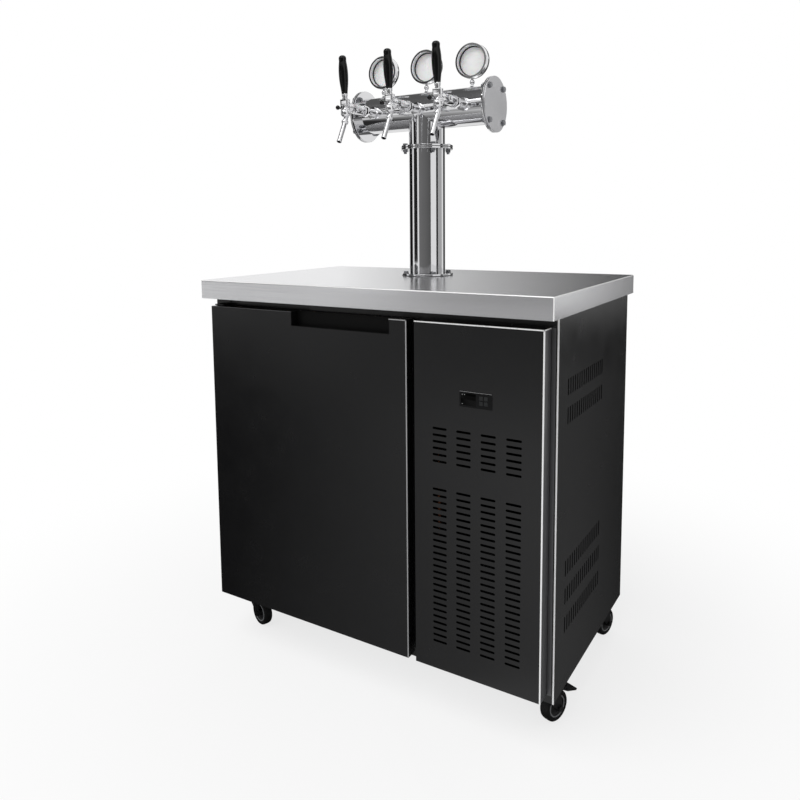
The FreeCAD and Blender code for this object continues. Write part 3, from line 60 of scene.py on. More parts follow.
ahead = Vector((-math.sin(camera_yaw), math.cos(camera_yaw), 0))
level = Vector((math.cos(camera_yaw), math.sin(camera_yaw), 0))
view = ahead * math.cos(camera_pitch) - Vector((0, 0, math.sin(camera_pitch)))
upright = ahead * math.sin(camera_pitch) + Vector((0, 0, math.cos(camera_pitch)))
side = level * math.cos(camera_lean) + upright * math.sin(camera_lean)
top = upright * math.cos(camera_lean) - level * math.sin(camera_lean)

camera = bpy.data.objects.new("camera", bpy.data.cameras.new("camera"))
bpy.context.scene.collection.objects.link(camera)
turn = Matrix((side, top, -view)).transposed().to_4x4()
camera.matrix_world = Matrix.Translation(camera_position) @ turn
camera.data.lens = 33.11
camera.data.sensor_width = 36.0
camera.data.shift_x = 0.0239
camera.data.shift_y = -0.125
bpy.context.scene.camera = camera
bpy.context.scene.view_settings.view_transform = "Standard"
print("camera looks along", [round(v, 3) for v in view])

# %% [markdown]
# A material is a small network of nodes. One helper adds a node: what is given as a
# socket is linked, any other value is typed in. Colours are written as hex, as a paint
# chart does, and turned to the linear values that the renderer adds up.

# %% Helpers for materials
def linear(colour):
    """Turns a hex colour such as #808080 to linear red, green, blue and alpha."""
    channels = [int(colour[place:place + 2], 16) / 255 for place in (1, 3, 5)]
    bright = [v / 12.92 if v <= 0.04045 else ((v + 0.055) / 1.055) ** 2.4 for v in channels]
    return (*bright, 1.0)


def add_node(owner, kind, inputs=None, **settings):
    """Adds a node to a material or a world, with its settings and its links."""
    tree = owner.node_tree
    node = tree.nodes.new(kind)
    for name, value in settings.items():
        setattr(node, name, value)
    for name, value in (inputs or {}).items():
        if isinstance(value, bpy.types.NodeSocket):
            tree.links.new(value, node.inputs[name])
        else:
            node.inputs[name].default_value = value
    return node


def new_finish(name, colour, values):
    """A material with one Principled shader: its colour and its plain values."""
    material = bpy.data.materials.new(name)
    material.use_nodes = True
    shader = material.node_tree.nodes["Principled BSDF"]
    shader.inputs["Base Color"].default_value = linear(colour)
    for socket, value in values.items():
        shader.inputs[socket].default_value = value
    return material, shader


def join_up(owner, source, target):
    """Draws one link."""
    owner.node_tree.links.new(source, target)


def dress(material, *names):
    """Puts a finish on CAD nodes."""
    for name in names:
        for material_slot in nodes[name].material_slots:
            material_slot.material = material


print("grey card:", [round(v, 3) for v in linear("#808080")])

# %% [markdown]
# Most surfaces are one of two kinds. A moulded, painted or cast one has a fine grain
# that is the same in all directions. A brushed one has streaks that run with the brush.
# In both, a fine noise raises the surface, a broad one mixes two colours, and one of the
# two varies the roughness. A noise swells and sinks once over twice the width of a mark,
# hence the factor of two in its scale.

# %% Two kinds of surface
patch_scale = 14.0
streak_scale = 5.0
broad_streak_scale = 1.5
broad_streak_ratio = 7
streak_depth = 0.0002


def noise_scale(mark_mm):
    """The noise scale that draws marks of a width in millimetres."""
    return 1000.0 / (2 * mark_mm)


def tinted_relief(material, shader, pattern, colours, height, depth, strength):
    """Lets a pattern mix two colours and lets a height raise the surface, to a depth in metres."""
    tint = add_node(material, "ShaderNodeMix", {
        0: pattern, 6: linear(colours[0]), 7: linear(colours[1])}, data_type="RGBA")
    relief = add_node(material, "ShaderNodeBump", {
        "Height": height, "Distance": depth, "Strength": strength})
    join_up(material, tint.outputs[2], shader.inputs["Base Color"])
    join_up(material, relief.outputs[0], shader.inputs["Normal"])


def varied_gloss(material, shader, marks, roughness):
    """Lets a noise vary the roughness between two values."""
    gloss = add_node(material, "ShaderNodeMapRange", {
        "Value": marks, "From Min": 0.3, "From Max": 0.7,
        "To Min": roughness[0], "To Max": roughness[1]})
    join_up(material, gloss.outputs[0], shader.inputs["Roughness"])


def grained(name, colour, shade, values, grain_mm, height_mm, roughness, strength=0.5):
    """A surface with an even grain. The colour drifts to its shade in soft patches."""
    material, shader = new_finish(name, colour, values)
    place = add_node(material, "ShaderNodeTexCoord").outputs["Object"]
    grain = add_node(material, "ShaderNodeTexNoise", {
        "Vector": place, "Scale": noise_scale(grain_mm), "Detail": 3.0})
    patches = add_node(material, "ShaderNodeTexNoise", {
        "Vector": place, "Scale": patch_scale, "Detail": 4.0, "Roughness": 0.6})
    tinted_relief(material, shader, patches.outputs[0], (colour, shade),
                  grain.outputs[0], height_mm / 1000, strength)
    varied_gloss(material, shader, patches.outputs[0], roughness)
    return material


def streaked(name, colour, shade, values, streak_mm, along, roughness, strength=0.25):
    """A metal with brush marks 100 mm long, along axis 0, 1 or 2."""
    material, shader = new_finish(name, colour, values)
    place = add_node(material, "ShaderNodeTexCoord").outputs["Object"]
    fine_scale = [noise_scale(streak_mm)] * 3
    broad_scale = [noise_scale(streak_mm) / broad_streak_ratio] * 3
    fine_scale[along] = streak_scale
    broad_scale[along] = broad_streak_scale
    fine_place = add_node(material, "ShaderNodeMapping", {"Vector": place, "Scale": fine_scale})
    broad_place = add_node(material, "ShaderNodeMapping", {"Vector": place, "Scale": broad_scale})
    fine = add_node(material, "ShaderNodeTexNoise", {
        "Vector": fine_place.outputs[0], "Scale": 1.0, "Detail": 2.0})
    broad = add_node(material, "ShaderNodeTexNoise", {
        "Vector": broad_place.outputs[0], "Scale": 1.0, "Detail": 3.0})
    tinted_relief(material, shader, broad.outputs[0], (colour, shade),
                  fine.outputs[0], streak_depth, strength)
    varied_gloss(material, shader, fine.outputs[0], roughness)
    return material


print("a grain of 1.8 mm is a noise of scale", round(noise_scale(1.8), 1))

# %% [markdown]
# The worktop and the linings are stainless steel. The top is brushed along its width,
# which gives soft streaked reflections; the linings are a rolled satin sheet. The marks
# of a real brush are a tenth of a millimetre wide, too fine to show here, so they are
# drawn 1.2 mm wide on the top and 1.5 mm on the linings.

# %% Stainless steel, brushed and satin
brushed_stainless = streaked(
    "brushed_stainless", "#e4e4e6", "#dadadc", {"Metallic": 1.0}, 1.2, 0, (0.2, 0.26), 0.03)
satin_stainless = streaked(
    "satin_stainless", "#c4c4c6", "#b2b3b5", {"Metallic": 1.0}, 1.5, 2, (0.34, 0.44), 0.12)
ground_stainless = grained(
    "ground_stainless", "#c8c8ca", "#bababc", {"Metallic": 1.0}, 0.8, 0.05, (0.3, 0.36), 0.2)
dress(brushed_stainless, "worktop")
dress(satin_stainless, "inner_liner", "door_liner")
dress(ground_stainless, "tower_end_plates")
print("worktop dressed in", nodes["worktop"].material_slots[0].material.name)

# %% [markdown]
# Where the sheet of the worktop is folded, each fold gets a painted highlight, a thin pale
# line where it would catch the light. A fold is the only place where the surface faces none
# of the axes squarely: the largest part of its normal is then clearly below one. That
# number leads from the brushed metal to a paler, softer one, the painted highlight.

# %% Painted highlight on the folds
bend_start = 0.995
bend_full = 0.93
bend_facing = add_node(brushed_stainless, "ShaderNodeVectorMath", {
    0: add_node(brushed_stainless, "ShaderNodeTexCoord").outputs["Normal"]}, operation="ABSOLUTE")
bend_parts = add_node(brushed_stainless, "ShaderNodeSeparateXYZ", {0: bend_facing.outputs[0]})
bend_level = add_node(brushed_stainless, "ShaderNodeMath", {
    0: bend_parts.outputs[0], 1: bend_parts.outputs[1]}, operation="MAXIMUM")
bend_largest = add_node(brushed_stainless, "ShaderNodeMath", {
    0: bend_level.outputs[0], 1: bend_parts.outputs[2]}, operation="MAXIMUM")
bend_highlight_mask = add_node(brushed_stainless, "ShaderNodeMapRange", {
    "Value": bend_largest.outputs[0], "From Min": bend_full, "From Max": bend_start,
    "To Min": 1.0, "To Max": 0.0})
worktop_shader = brushed_stainless.node_tree.nodes["Principled BSDF"]
brushed_tint = worktop_shader.inputs["Base Color"].links[0].from_socket
# The pale colour mixed in here is a painted highlight on the folds of the worktop.
bend_highlight_colour = add_node(brushed_stainless, "ShaderNodeMix", {
    0: bend_highlight_mask.outputs[0], 6: brushed_tint, 7: linear("#fafafa")}, data_type="RGBA")
bend_highlight_metal = add_node(brushed_stainless, "ShaderNodeMapRange", {
    "Value": bend_highlight_mask.outputs[0], "To Min": 1.0, "To Max": 0.25})
join_up(brushed_stainless, bend_highlight_colour.outputs[2], worktop_shader.inputs["Base Color"])
join_up(brushed_stainless, bend_highlight_metal.outputs[0], worktop_shader.inputs["Metallic"])
print("bend nodes:", len(brushed_stainless.node_tree.nodes))

# %% [markdown]
# The tower is polished stainless tube. A polished tube isn't a perfect mirror: the wheel
# leaves a very faint waviness that bends the edges of what it reflects. The taps are
# brass with chrome plate, which is brighter and sharper.

# %% Polished steel and chrome
polished_stainless = grained(
    "polished_stainless", "#dcdcdd", "#d2d2d4", {"Metallic": 1.0}, 22.0, 0.1, (0.03, 0.07), 0.06)
chrome_plate = grained(
    "chrome_plate", "#e6e6e8", "#dededf", {"Metallic": 1.0}, 6.0, 0.02, (0.03, 0.06), 0.05)
dress(polished_stainless, "tower_column", "tower_head")
tap_names = ("left", "middle", "right")
dress(chrome_plate, "faucet_shanks", "faucet_bodies", "medallions", "line_unions",
      *["flow_lever_" + place for place in tap_names])
print("tower dressed in", nodes["tower_head"].material_slots[0].material.name)

# %% [markdown]
# The case, the frame and the door are steel sheet with a black powder coat. The powder
# melts to a skin like that of an orange, with dimples some two millimetres wide, and
# shines softly. The paint is a dielectric, so it isn't metallic: its highlight is white.

# %% Black powder coat
powder_coat = grained(
    "powder_coat_black", "#0c0c0d", "#101011", {"IOR": 1.5, "Specular IOR Level": 0.35}, 1.8, 0.03,
    (0.22, 0.28), 0.12)
dress(powder_coat, "outer_wrapper", "right_side_panel", "rear_grille_panel", "front_frame",
      "front_grille_panel", "door_skin", "hinge_brackets")
print("door dressed in", nodes["door_skin"].material_slots[0].material.name)

# %% [markdown]
# The plastics: ABS with a moulded grain for the finger recess and the small parts, glossy
# ABS for the controller, black phenolic resin for the grips and knobs, clear vinyl for
# the beer tube, soft vinyl for the seals, tyre rubber and nylon for the wheels.

# %% Plastics and rubber
grained_abs = grained(
    "grained_abs", "#121213", "#171718", {"IOR": 1.53}, 0.9, 0.05, (0.42, 0.52))
glossy_abs = grained(
    "glossy_abs", "#0a0a0b", "#0e0e0f", {"IOR": 1.53, "Specular IOR Level": 0.12}, 3.0, 0.01,
    (0.16, 0.24), 0.2)
pocket_abs = grained(
    "pocket_abs", "#060606", "#090909", {"IOR": 1.53, "Specular IOR Level": 0.15}, 0.9, 0.05,
    (0.5, 0.6))
phenolic = grained(
    "phenolic_black", "#050505", "#080808", {"IOR": 1.5, "Specular IOR Level": 0.3}, 5.0, 0.01,
    (0.1, 0.16), 0.15)
key_rubber = grained(
    "key_rubber", "#1b1c1d", "#222324", {"IOR": 1.45, "Specular IOR Level": 0.3}, 0.8, 0.03,
    (0.5, 0.6))
seal_vinyl = grained(
    "seal_vinyl", "#1d1d1e", "#242425", {"IOR": 1.5}, 1.2, 0.05, (0.5, 0.62))
tyre_rubber = grained(
    "tyre_rubber", "#050505", "#0a0a0a", {"IOR": 1.52, "Specular IOR Level": 0.25}, 1.5, 0.08,
    (0.6, 0.75))
hub_nylon = grained(
    "hub_nylon", "#161617", "#1c1c1d", {"IOR": 1.53, "Specular IOR Level": 0.3}, 1.2, 0.04,
    (0.42, 0.5))
# The grey of the wheel rims is a painted highlight on the edge of the hub.
rim_highlight_grey = grained(
    "rim_highlight_grey", "#747577", "#68696b", {"IOR": 1.53}, 1.2, 0.04, (0.42, 0.5))
beer_vinyl = grained(
    "beer_vinyl", "#dcdcd2", "#cfcfc4", {"IOR": 1.5, "Transmission Weight": 0.6}, 4.0, 0.02,
    (0.15, 0.25))
dress(pocket_abs, "handle_pocket")
dress(grained_abs, "cord_gland", "hinge_bushes", "condenser_fan_blade",
      "evaporator_fan_blade")
dress(glossy_abs, "controller_housing")
dress(phenolic, *["tap_handle_" + place for place in tap_names])
dress(key_rubber, *["controller_key_%d" % number for number in range(1, 5)])
dress(seal_vinyl, "door_gasket", "tower_gaskets")
dress(beer_vinyl, "beer_lines")
caster_names = ("front_right", "front_left", "back_right", "back_left")
dress(tyre_rubber, *["caster_wheel_" + place for place in caster_names])
print("materials so far:", len(bpy.data.materials))

# %% [markdown]
# The works inside: zinc-coated trays with their spangle, a black enamelled compressor,
# finned coils, copper pipe that has dulled to brown, grey motors, and a white
# stove-enamelled cover over the evaporator. The casters are steel in a black zinc
# finish, the bolts are bright zinc.

# %% Enamel, zinc and copper
compressor_enamel = grained(
    "compressor_enamel", "#101011", "#161617", {"IOR": 1.5}, 2.5, 0.05, (0.2, 0.3))
motor_paint = grained(
    "motor_paint", "#55585a", "#4a4d4f", {"IOR": 1.5}, 1.5, 0.04, (0.4, 0.5))
stove_enamel = grained(
    "stove_enamel", "#e8e8e6", "#dededc", {"IOR": 1.5}, 2.0, 0.02, (0.2, 0.3), 0.2)
dull_copper = grained(
    "dull_copper", "#7a4c36", "#54382b", {"Metallic": 1.0}, 4.0, 0.03, (0.28, 0.42))
black_zinc = grained(
    "black_zinc", "#0c0c0d", "#141415", {"IOR": 1.5, "Metallic": 0.25}, 1.0, 0.03, (0.34, 0.46))
bright_zinc = grained(
    "bright_zinc", "#8e8f92", "#76777a", {"Metallic": 1.0}, 1.0, 0.03, (0.22, 0.34))
# The fan shroud is dressed black too: painted shade, so the louvres in front of it stay dark.
dress(compressor_enamel, "compressor", "fan_shroud")
dress(motor_paint, "condenser_fan_motor", "evaporator_fan_motor")
dress(stove_enamel, "evaporator_cover")
dress(dull_copper, "refrigerant_lines")
dress(black_zinc, *["caster_fork_" + place for place in caster_names],
      "caster_brake_front_right", "caster_brake_back_left")
dress(bright_zinc, "tower_fasteners")
print("works dressed; materials so far:", len(bpy.data.materials))

# %% [markdown]
# Galvanised sheet shows crystals of zinc, flat cells about 12 mm across that each catch
# the light a little differently. A Voronoi texture draws such cells, and the random
# colour of each cell gives it its own grey and its own roughness.

# %% Galvanised steel
def cell_scale(cell_mm):
    """The Voronoi scale that draws cells of a width in millimetres."""
    return 1000 / cell_mm


galvanised, galvanised_shader = new_finish("galvanised_steel", "#9a9ea2", {"Metallic": 0.9})
zinc_place = add_node(galvanised, "ShaderNodeTexCoord").outputs["Object"]
spangle = add_node(galvanised, "ShaderNodeTexVoronoi", {
    "Vector": zinc_place, "Scale": cell_scale(12.0)})
spangle_grey = add_node(galvanised, "ShaderNodeMix", {
    0: spangle.outputs["Color"], 6: linear("#8d9195"), 7: linear("#a9adb1")}, data_type="RGBA")
spangle_gloss = add_node(galvanised, "ShaderNodeMapRange", {
    "Value": spangle.outputs["Color"], "To Min": 0.3, "To Max": 0.5})
join_up(galvanised, spangle_grey.outputs[2], galvanised_shader.inputs["Base Color"])
join_up(galvanised, spangle_gloss.outputs[0], galvanised_shader.inputs["Roughness"])
dress(galvanised, "base_tray", "caster_plates")
print("spangle of 12 mm is a Voronoi of scale", round(cell_scale(12.0), 1))

# %% [markdown]
# The fins of the two coils are aluminium leaves 0.15 mm thick and 2 mm apart, too fine to
# show. They are drawn 19 mm apart, as a wave that paints shade between the leaves and a
# highlight on their edges, and lifts those edges. A wave texture of scale one repeats every
# 2 pi / 20 of a metre. The evaporator's fins stay bare. The condenser's are black, painted
# shade that keeps the louvres in front of them dark.

# %% Fins
wave_spacing_mm = 6 * math.pi
wave_scale = 1000 * (2 * math.pi / 20) / wave_spacing_mm
fin_paints = {
    "finned_aluminium": ("evaporator_coil", "#b9bcc0", "#4b4d50", "#cfd2d5", {
        "Metallic": 1.0, "Roughness": 0.38}),
    # The black of the condenser is painted shade behind the louvres.
    "finned_black_shade": ("condenser_coil", "#080808", "#030303", "#0e0e0e", {
        "Metallic": 0.0, "Roughness": 0.7, "Specular IOR Level": 0.15})}
for name, (coil, colour, fin_gap_shade, fin_edge_highlight, values) in fin_paints.items():
    fins, fins_shader = new_finish(name, colour, values)
    fin_place = add_node(fins, "ShaderNodeTexCoord").outputs["Object"]
    fin_wave = add_node(fins, "ShaderNodeTexWave", {
        "Vector": fin_place, "Scale": wave_scale}, bands_direction="X").outputs[1]
    # The two wave colours are painted shade between the fins and painted highlight on their edges.
    tinted_relief(fins, fins_shader, fin_wave, (fin_gap_shade, fin_edge_highlight), fin_wave, 0.001, 0.8)
    dress(fins, coil)
print("coils dressed:", len(fin_paints), "fins apart:", round(wave_spacing_mm, 1), "mm")

# %% [markdown]
# Particle board is chips of wood 2 to 5 mm long, and rigid foam is cells under a
# millimetre that show as a rough, yellowed crumb where the foam is bare. Both are cells
# with a random tint, 4 mm wide for the chips and 2.5 mm for the crumb. The foam of the
# case is near black: painted shade, which keeps the works side dark behind the louvres.

# %% Particle board and foam
def celled(name, colour, shades, roughness, cell_mm, depth, strength):
    """A surface of small cells, each with a tint of its own between two shades."""
    material, shader = new_finish(name, colour, {"Roughness": roughness})
    place = add_node(material, "ShaderNodeTexCoord").outputs["Object"]
    cells = add_node(material, "ShaderNodeTexVoronoi", {
        "Vector": place, "Scale": cell_scale(cell_mm)})
    tinted_relief(material, shader, cells.outputs["Color"], shades,
                  cells.outputs["Distance"], depth, strength)
    return material


particle_board = celled(
    "particle_board", "#a98a62", ("#8a6a45", "#c3a67c"), 0.8, 4.0, 0.0004, 0.6)
rigid_foam = celled(
    "rigid_foam", "#d9c48a", ("#c9b273", "#e3d19e"), 0.9, 2.5, 0.0006, 0.7)
# Near-black foam: painted shade of the bay behind the louvres.
foam_painted_shade = grained(
    "foam_painted_shade", "#161615", "#1e1d1c", {"IOR": 1.45}, 2.5, 0.1, (0.7, 0.85))
dress(particle_board, "worktop_core")
dress(foam_painted_shade, "insulation_foam")
dress(rigid_foam, "door_foam")
print("materials:", len(bpy.data.materials))

# %% [markdown]
# Many pieces of this object are round: grips, knobs, spouts, collars, rings, wheels. A
# lathe would turn them, and here extrusion does: a circle is drawn at the first station,
# then extruded to the next height and resized to the next radius, again and again. A
# hollow piece, such as a ring, comes back to where it began, and a bridge closes it.
# A bare circle has no face, so vertices are selected. Sizes are given in millimetres, as
# on a workshop drawing.

# %% A lathe made of extrusions
smooth_angle = math.radians(38)


def mm(value):
    """Millimetres to metres."""
    return value / 1000.0


def only(piece):
    """Makes a piece the one that operators act on."""
    bpy.ops.object.select_all(action="DESELECT")
    piece.select_set(True)
    bpy.context.view_layer.objects.active = piece


def turned(name, stations, segments=48, hollow=False):
    """A round piece about +Z from (height, radius) stations."""
    bpy.ops.object.select_all(action="DESELECT")
    height, radius = stations[0]
    bpy.ops.mesh.primitive_circle_add(
        vertices=segments, radius=mm(radius), location=(0, 0, mm(height)),
        fill_type="NOTHING" if hollow else "NGON")
    piece = bpy.context.object
    piece.name = name
    bpy.ops.object.transform_apply(location=True)
    bpy.ops.object.mode_set(mode="EDIT")
    bpy.ops.mesh.select_mode(type="VERT")
    bpy.ops.mesh.select_all(action="SELECT")
    for next_height, next_radius in stations[1:]:
        bpy.ops.mesh.extrude_region_move(
            TRANSFORM_OT_translate={"value": (0, 0, mm(next_height - height))})
        share = next_radius / radius
        bpy.ops.transform.resize(value=(share, share, 1), center_override=(0, 0, mm(next_height)))
        height, radius = next_height, next_radius
    if hollow:
        bpy.ops.mesh.select_all(action="DESELECT")
        bpy.ops.mesh.select_mode(type="EDGE")
        bpy.ops.mesh.select_non_manifold()
        bpy.ops.mesh.bridge_edge_loops()
    bpy.ops.mesh.select_all(action="SELECT")
    bpy.ops.mesh.normals_make_consistent(inside=False)
    bpy.ops.object.mode_set(mode="OBJECT")
    bpy.ops.object.shade_smooth_by_angle(angle=smooth_angle)
    return piece


print("edges under", round(math.degrees(smooth_angle)), "degrees are shaded smooth")

# %% [markdown]
# What repeats is modelled once, as a pattern at the origin. Each copy is turned and moved
# to its place, and the move is then applied, so that the place lies in the mesh and the
# object itself stays at the origin, as the nodes of the CAD model do.

# %% Helpers that place, copy and finish pieces
def towards(axis):
    """The turn that lays a piece's +Z along an axis."""
    return Vector(axis).to_track_quat("Z", "Y")


to_front = towards((0, -1, 0))
to_back = towards((0, 1, 0))
to_right = towards((1, 0, 0))
to_left = towards((-1, 0, 0))


def stand(piece, foot, turn=None):
    """Puts a piece's origin at a point in millimetres and keeps its place in its mesh."""
    only(piece)
    piece.rotation_mode = "QUATERNION"
    if turn is not None:
        piece.rotation_quaternion = turn
    piece.location = [mm(value) for value in foot]
    bpy.ops.object.transform_apply(location=True, rotation=True, scale=True)
    return piece


def twin(piece, name):
    """A copy with a mesh of its own."""
    copy = piece.copy()
    copy.data = piece.data.copy()
    copy.name = name
    bpy.context.scene.collection.objects.link(copy)
    return copy


def united(name, pieces):
    """Several pieces as one object."""
    only(pieces[0])
    for piece in pieces:
        piece.select_set(True)
    bpy.ops.object.join()
    pieces[0].name = name
    return pieces[0]


def scrap(*pieces):
    """Removes patterns that were only there to be copied."""
    for piece in pieces:
        bpy.data.objects.remove(piece)


def done(piece, material, body, slot_name, *replaced):
    """Gives a piece its finish, the body it rides on, and the CAD nodes it stands for."""
    piece.data.materials.clear()
    piece.data.materials.append(material)
    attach(piece, body)
    if replaced:
        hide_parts(*replaced)


taps = dict(zip(tap_names, (-160.0, -20.0, 120.0)))
tee_height = 1484.5
pivot_y = -106.0
pivot_z = 1490.5
print("taps at X", list(taps.values()), "mm")

# %% [markdown]
# The grip is black phenolic resin, moulded and polished: a bullet that is widest halfway
# up, with a shallow neck under its rounded head, which is where the palm rests. The
# stations follow that outline. It leans five degrees to the front.

# %% Grips
grip_lean = 5
grip_foot = 28.5
grip_turn = Matrix.Rotation(math.radians(grip_lean), 4, "X").to_quaternion()
grip_axis = grip_turn @ Vector((0, 0, 1))
grip_stations = [
    (0, 7.4), (0.8, 8.0), (6, 8.5), (14, 9.6), (24, 10.9), (34, 11.9), (44, 12.4), (52, 12.5),
    (60, 12.3), (68, 11.8), (75, 11.0), (80, 10.3), (83, 9.9), (85.5, 9.75), (88, 9.95),
    (90.5, 10.15), (93, 9.85), (95.3, 8.9), (97, 7.4), (98.2, 5.3), (98.8, 3.0), (99, 1.2)]
grip_pattern = turned("grip", grip_stations)
for place, x in taps.items():
    grip = stand(twin(grip_pattern, "grip_" + place),
                 Vector((x, pivot_y, pivot_z)) + grip_axis * grip_foot, grip_turn)
    done(grip, phenolic, "tap_lever_" + place, "grip_black", "tap_handle_" + place)
print("grip faces:", len(grip_pattern.data.polygons))
scrap(grip_pattern)

# %% [markdown]
# Angular pieces start as a block between two corners. Its faces are picked by a test of
# their centre and normal, and a small bevel gives the finished piece's edges the soft
# line that polishing or folding leaves.

# %% Helpers for pieces that start as a block
bevel_angle = math.radians(35)


def block(name, low, high):
    """A box between two corners in millimetres, its place kept in its mesh."""
    bpy.ops.object.select_all(action="DESELECT")
    middle = [mm((a + b) / 2) for a, b in zip(low, high)]
    bpy.ops.mesh.primitive_cube_add(size=1, location=middle)
    piece = bpy.context.object
    piece.name = name
    piece.scale = [mm(b - a) for a, b in zip(low, high)]
    bpy.ops.object.transform_apply(location=True, rotation=True, scale=True)
    return piece


def select_faces(piece, wanted):
    """In edit mode, selects the faces that a test accepts by centre and normal."""
    bpy.ops.mesh.select_all(action="DESELECT")
    bpy.ops.object.mode_set(mode="OBJECT")
    for face in piece.data.polygons:
        face.select = wanted(face.center * 1000, face.normal)
    bpy.ops.object.mode_set(mode="EDIT")
    bpy.ops.mesh.select_mode(type="FACE")


def softened(piece, width):
    """Bevels the sharp edges and shades the rest smooth."""
    only(piece)
    bevel = piece.modifiers.new("bevel", "BEVEL")
    bevel.width = mm(width)
    bevel.segments = 2
    bevel.limit_method = "ANGLE"
    bevel.angle_limit = bevel_angle
    bpy.ops.object.modifier_apply(modifier="bevel")
    bpy.ops.object.shade_smooth_by_angle(angle=smooth_angle)
    return piece


print("edges over", round(math.degrees(bevel_angle)), "degrees are bevelled")

# %% [markdown]
# Under each grip sits the chrome lever: a ferrule with a groove, and a yoke whose two
# arms straddle the tap's boss. The yoke starts as a block. Two cuts mark where the arms
# begin, their undersides are extruded down, and the last steps narrow them to round ends.

# %% Levers
yoke_half = 10.8
arm_inside = 7.3
half_depth = 8.0
arm_z = 9.5
yoke = block("yoke", (-yoke_half, -half_depth, arm_z), (yoke_half, half_depth, 14.5))
bpy.ops.object.mode_set(mode="EDIT")
for cut_x in (-arm_inside, arm_inside):
    bpy.ops.mesh.select_all(action="SELECT")
    bpy.ops.mesh.bisect(plane_co=(mm(cut_x), 0, 0), plane_no=(1, 0, 0))
select_faces(yoke, lambda centre, normal: normal.z < -0.9 and abs(centre.x) > arm_inside)
for next_z, next_half in ((3, 8.4), (0, 8.45), (-3.2, 7.8), (-6, 6.0), (-7.7, 3.6), (-8.4, 1.2)):
    bpy.ops.mesh.extrude_region_move(TRANSFORM_OT_translate={"value": (0, 0, mm(next_z - arm_z))})
    bpy.ops.transform.resize(value=(1, next_half / half_depth, 1), center_override=(0, 0, 0))
    arm_z, half_depth = next_z, next_half
bpy.ops.object.mode_set(mode="OBJECT")
softened(yoke, 0.6)
ferrule = turned("ferrule", [
    (14.2, 6.6), (14.8, 7.4), (17.5, 7.5), (18.3, 6.5), (20.3, 6.5), (21.1, 7.5), (26.6, 8.0),
    (27.8, 8.3), (28.6, 7.8)])
pin = turned("pin", [
    (-11.6, 1.6), (-11.3, 2.8), (-10.7, 3.2), (10.7, 3.2), (11.3, 2.8), (11.6, 1.6)], 24)
stand(pin, (0, 0, 0), to_right)
lever_pattern = united("lever", [yoke, ferrule, pin])
for place, x in taps.items():
    lever = stand(twin(lever_pattern, "lever_" + place), (x, pivot_y, pivot_z), grip_turn)
    done(lever, chrome_plate, "tap_lever_" + place, "flow_steel", "tap_handle_" + place)
print("lever faces:", len(lever_pattern.data.polygons))
scrap(lever_pattern)

# %% [markdown]
# The coupling nut of a tap has a knurled rim that fingers can tighten: every other side
# face of the rim is raised a little.

# %% Knurled rim
knurl_count = 60
knurl_degrees = 360 / knurl_count
knurl_height = 0.5
rim = turned("rim", [(0, 15.0), (0.7, 15.5), (8.3, 15.5), (9, 15.0)], knurl_count)
bpy.ops.object.mode_set(mode="EDIT")
select_faces(rim, lambda centre, normal: abs(normal.z) < 0.2 and round(
    math.degrees(math.atan2(centre.y, centre.x)) / knurl_degrees - 0.5) % 2 == 0)
bpy.ops.mesh.extrude_faces_move(TRANSFORM_OT_shrink_fatten={"value": -mm(knurl_height)})
bpy.ops.object.mode_set(mode="OBJECT")
print("rim faces:", len(rim.data.polygons))

# %% [markdown]
# The tap itself is turned and plated brass. Behind the head lies the barrel with its
# grooves, and the spout leans forward with a collar and a lip. The spout's outline turns
# back into itself, so that its mouth is really open.

# %% Taps
spout_lean = math.radians(28)
spout_axis = Vector((0, -math.sin(spout_lean), -math.cos(spout_lean)))
tap_parts = [
    stand(rim, (0, 82, 0), to_front),
    stand(turned("hex", [(0, 14.8), (0.8, 16), (8.2, 16), (9, 15.2)], 6), (0, 100, 0), to_front),
    stand(turned("barrel", [
        (0, 11.8), (1, 13), (7, 13), (8, 12.2), (10, 12.2), (11, 13), (43, 13), (45, 12.2),
        (47, 11.7), (54, 11.7), (56, 12.8), (64, 12.8), (66, 12.0), (68, 10.5)]),
        (0, 82, 0), to_front),
    stand(turned("neck", [(0, 10.6), (2, 9.4), (6, 8.9), (14, 8.9)]), (0, 14, 0), to_front),
    stand(turned("head", [
        (0, 6.5), (0.8, 8.6), (2.2, 10.4), (4.2, 11.8), (7, 12.5), (16, 12.5), (17, 11.9),
        (19, 11.9), (20, 12.4), (22, 11.2), (23.5, 9.2), (30.5, 8.7)]), (0, 0, -26)),
    stand(turned("boss", [(-7, 8.2), (-6.4, 8.9), (6.4, 8.9), (7, 8.2)]), (0, 0, 6), to_right),
    stand(turned("spout", [
        (0, 6.4), (19.5, 6.4), (21, 8.2), (22, 9), (27, 9), (28, 8.3), (29.5, 6.4), (60, 6.2),
        (81, 6.2), (83, 6.6), (85.4, 6.7), (86, 6.3), (86, 4.8), (70, 4.5), (40, 4.5)], 40),
        (0, 8, -18), towards(spout_axis)),
    stand(turned("seat", [(0, 7.4), (16.3, 7.4), (17, 6.8)], 32), (0, 31, 0), to_left),
    stand(turned("cap", [(0, 6.9), (17.2, 6.9), (18, 6.1), (18, 2.2), (17, 2.0)], 6),
          (0, 31, 0), to_right),
]
tap_pattern = united("tap", tap_parts)
for place, x in taps.items():
    tap = stand(twin(tap_pattern, "tap_" + place), (x, pivot_y, tee_height))
    done(tap, chrome_plate, "cabinet", "tower_polish", "faucet_bodies")
print("tap faces:", len(tap_pattern.data.polygons))
scrap(tap_pattern)

# %% [markdown]
# A flow lever on the left of each barrel sets how fast the beer runs. Its hub and rod
# are chrome, the ball at its end is black resin on a short collar.

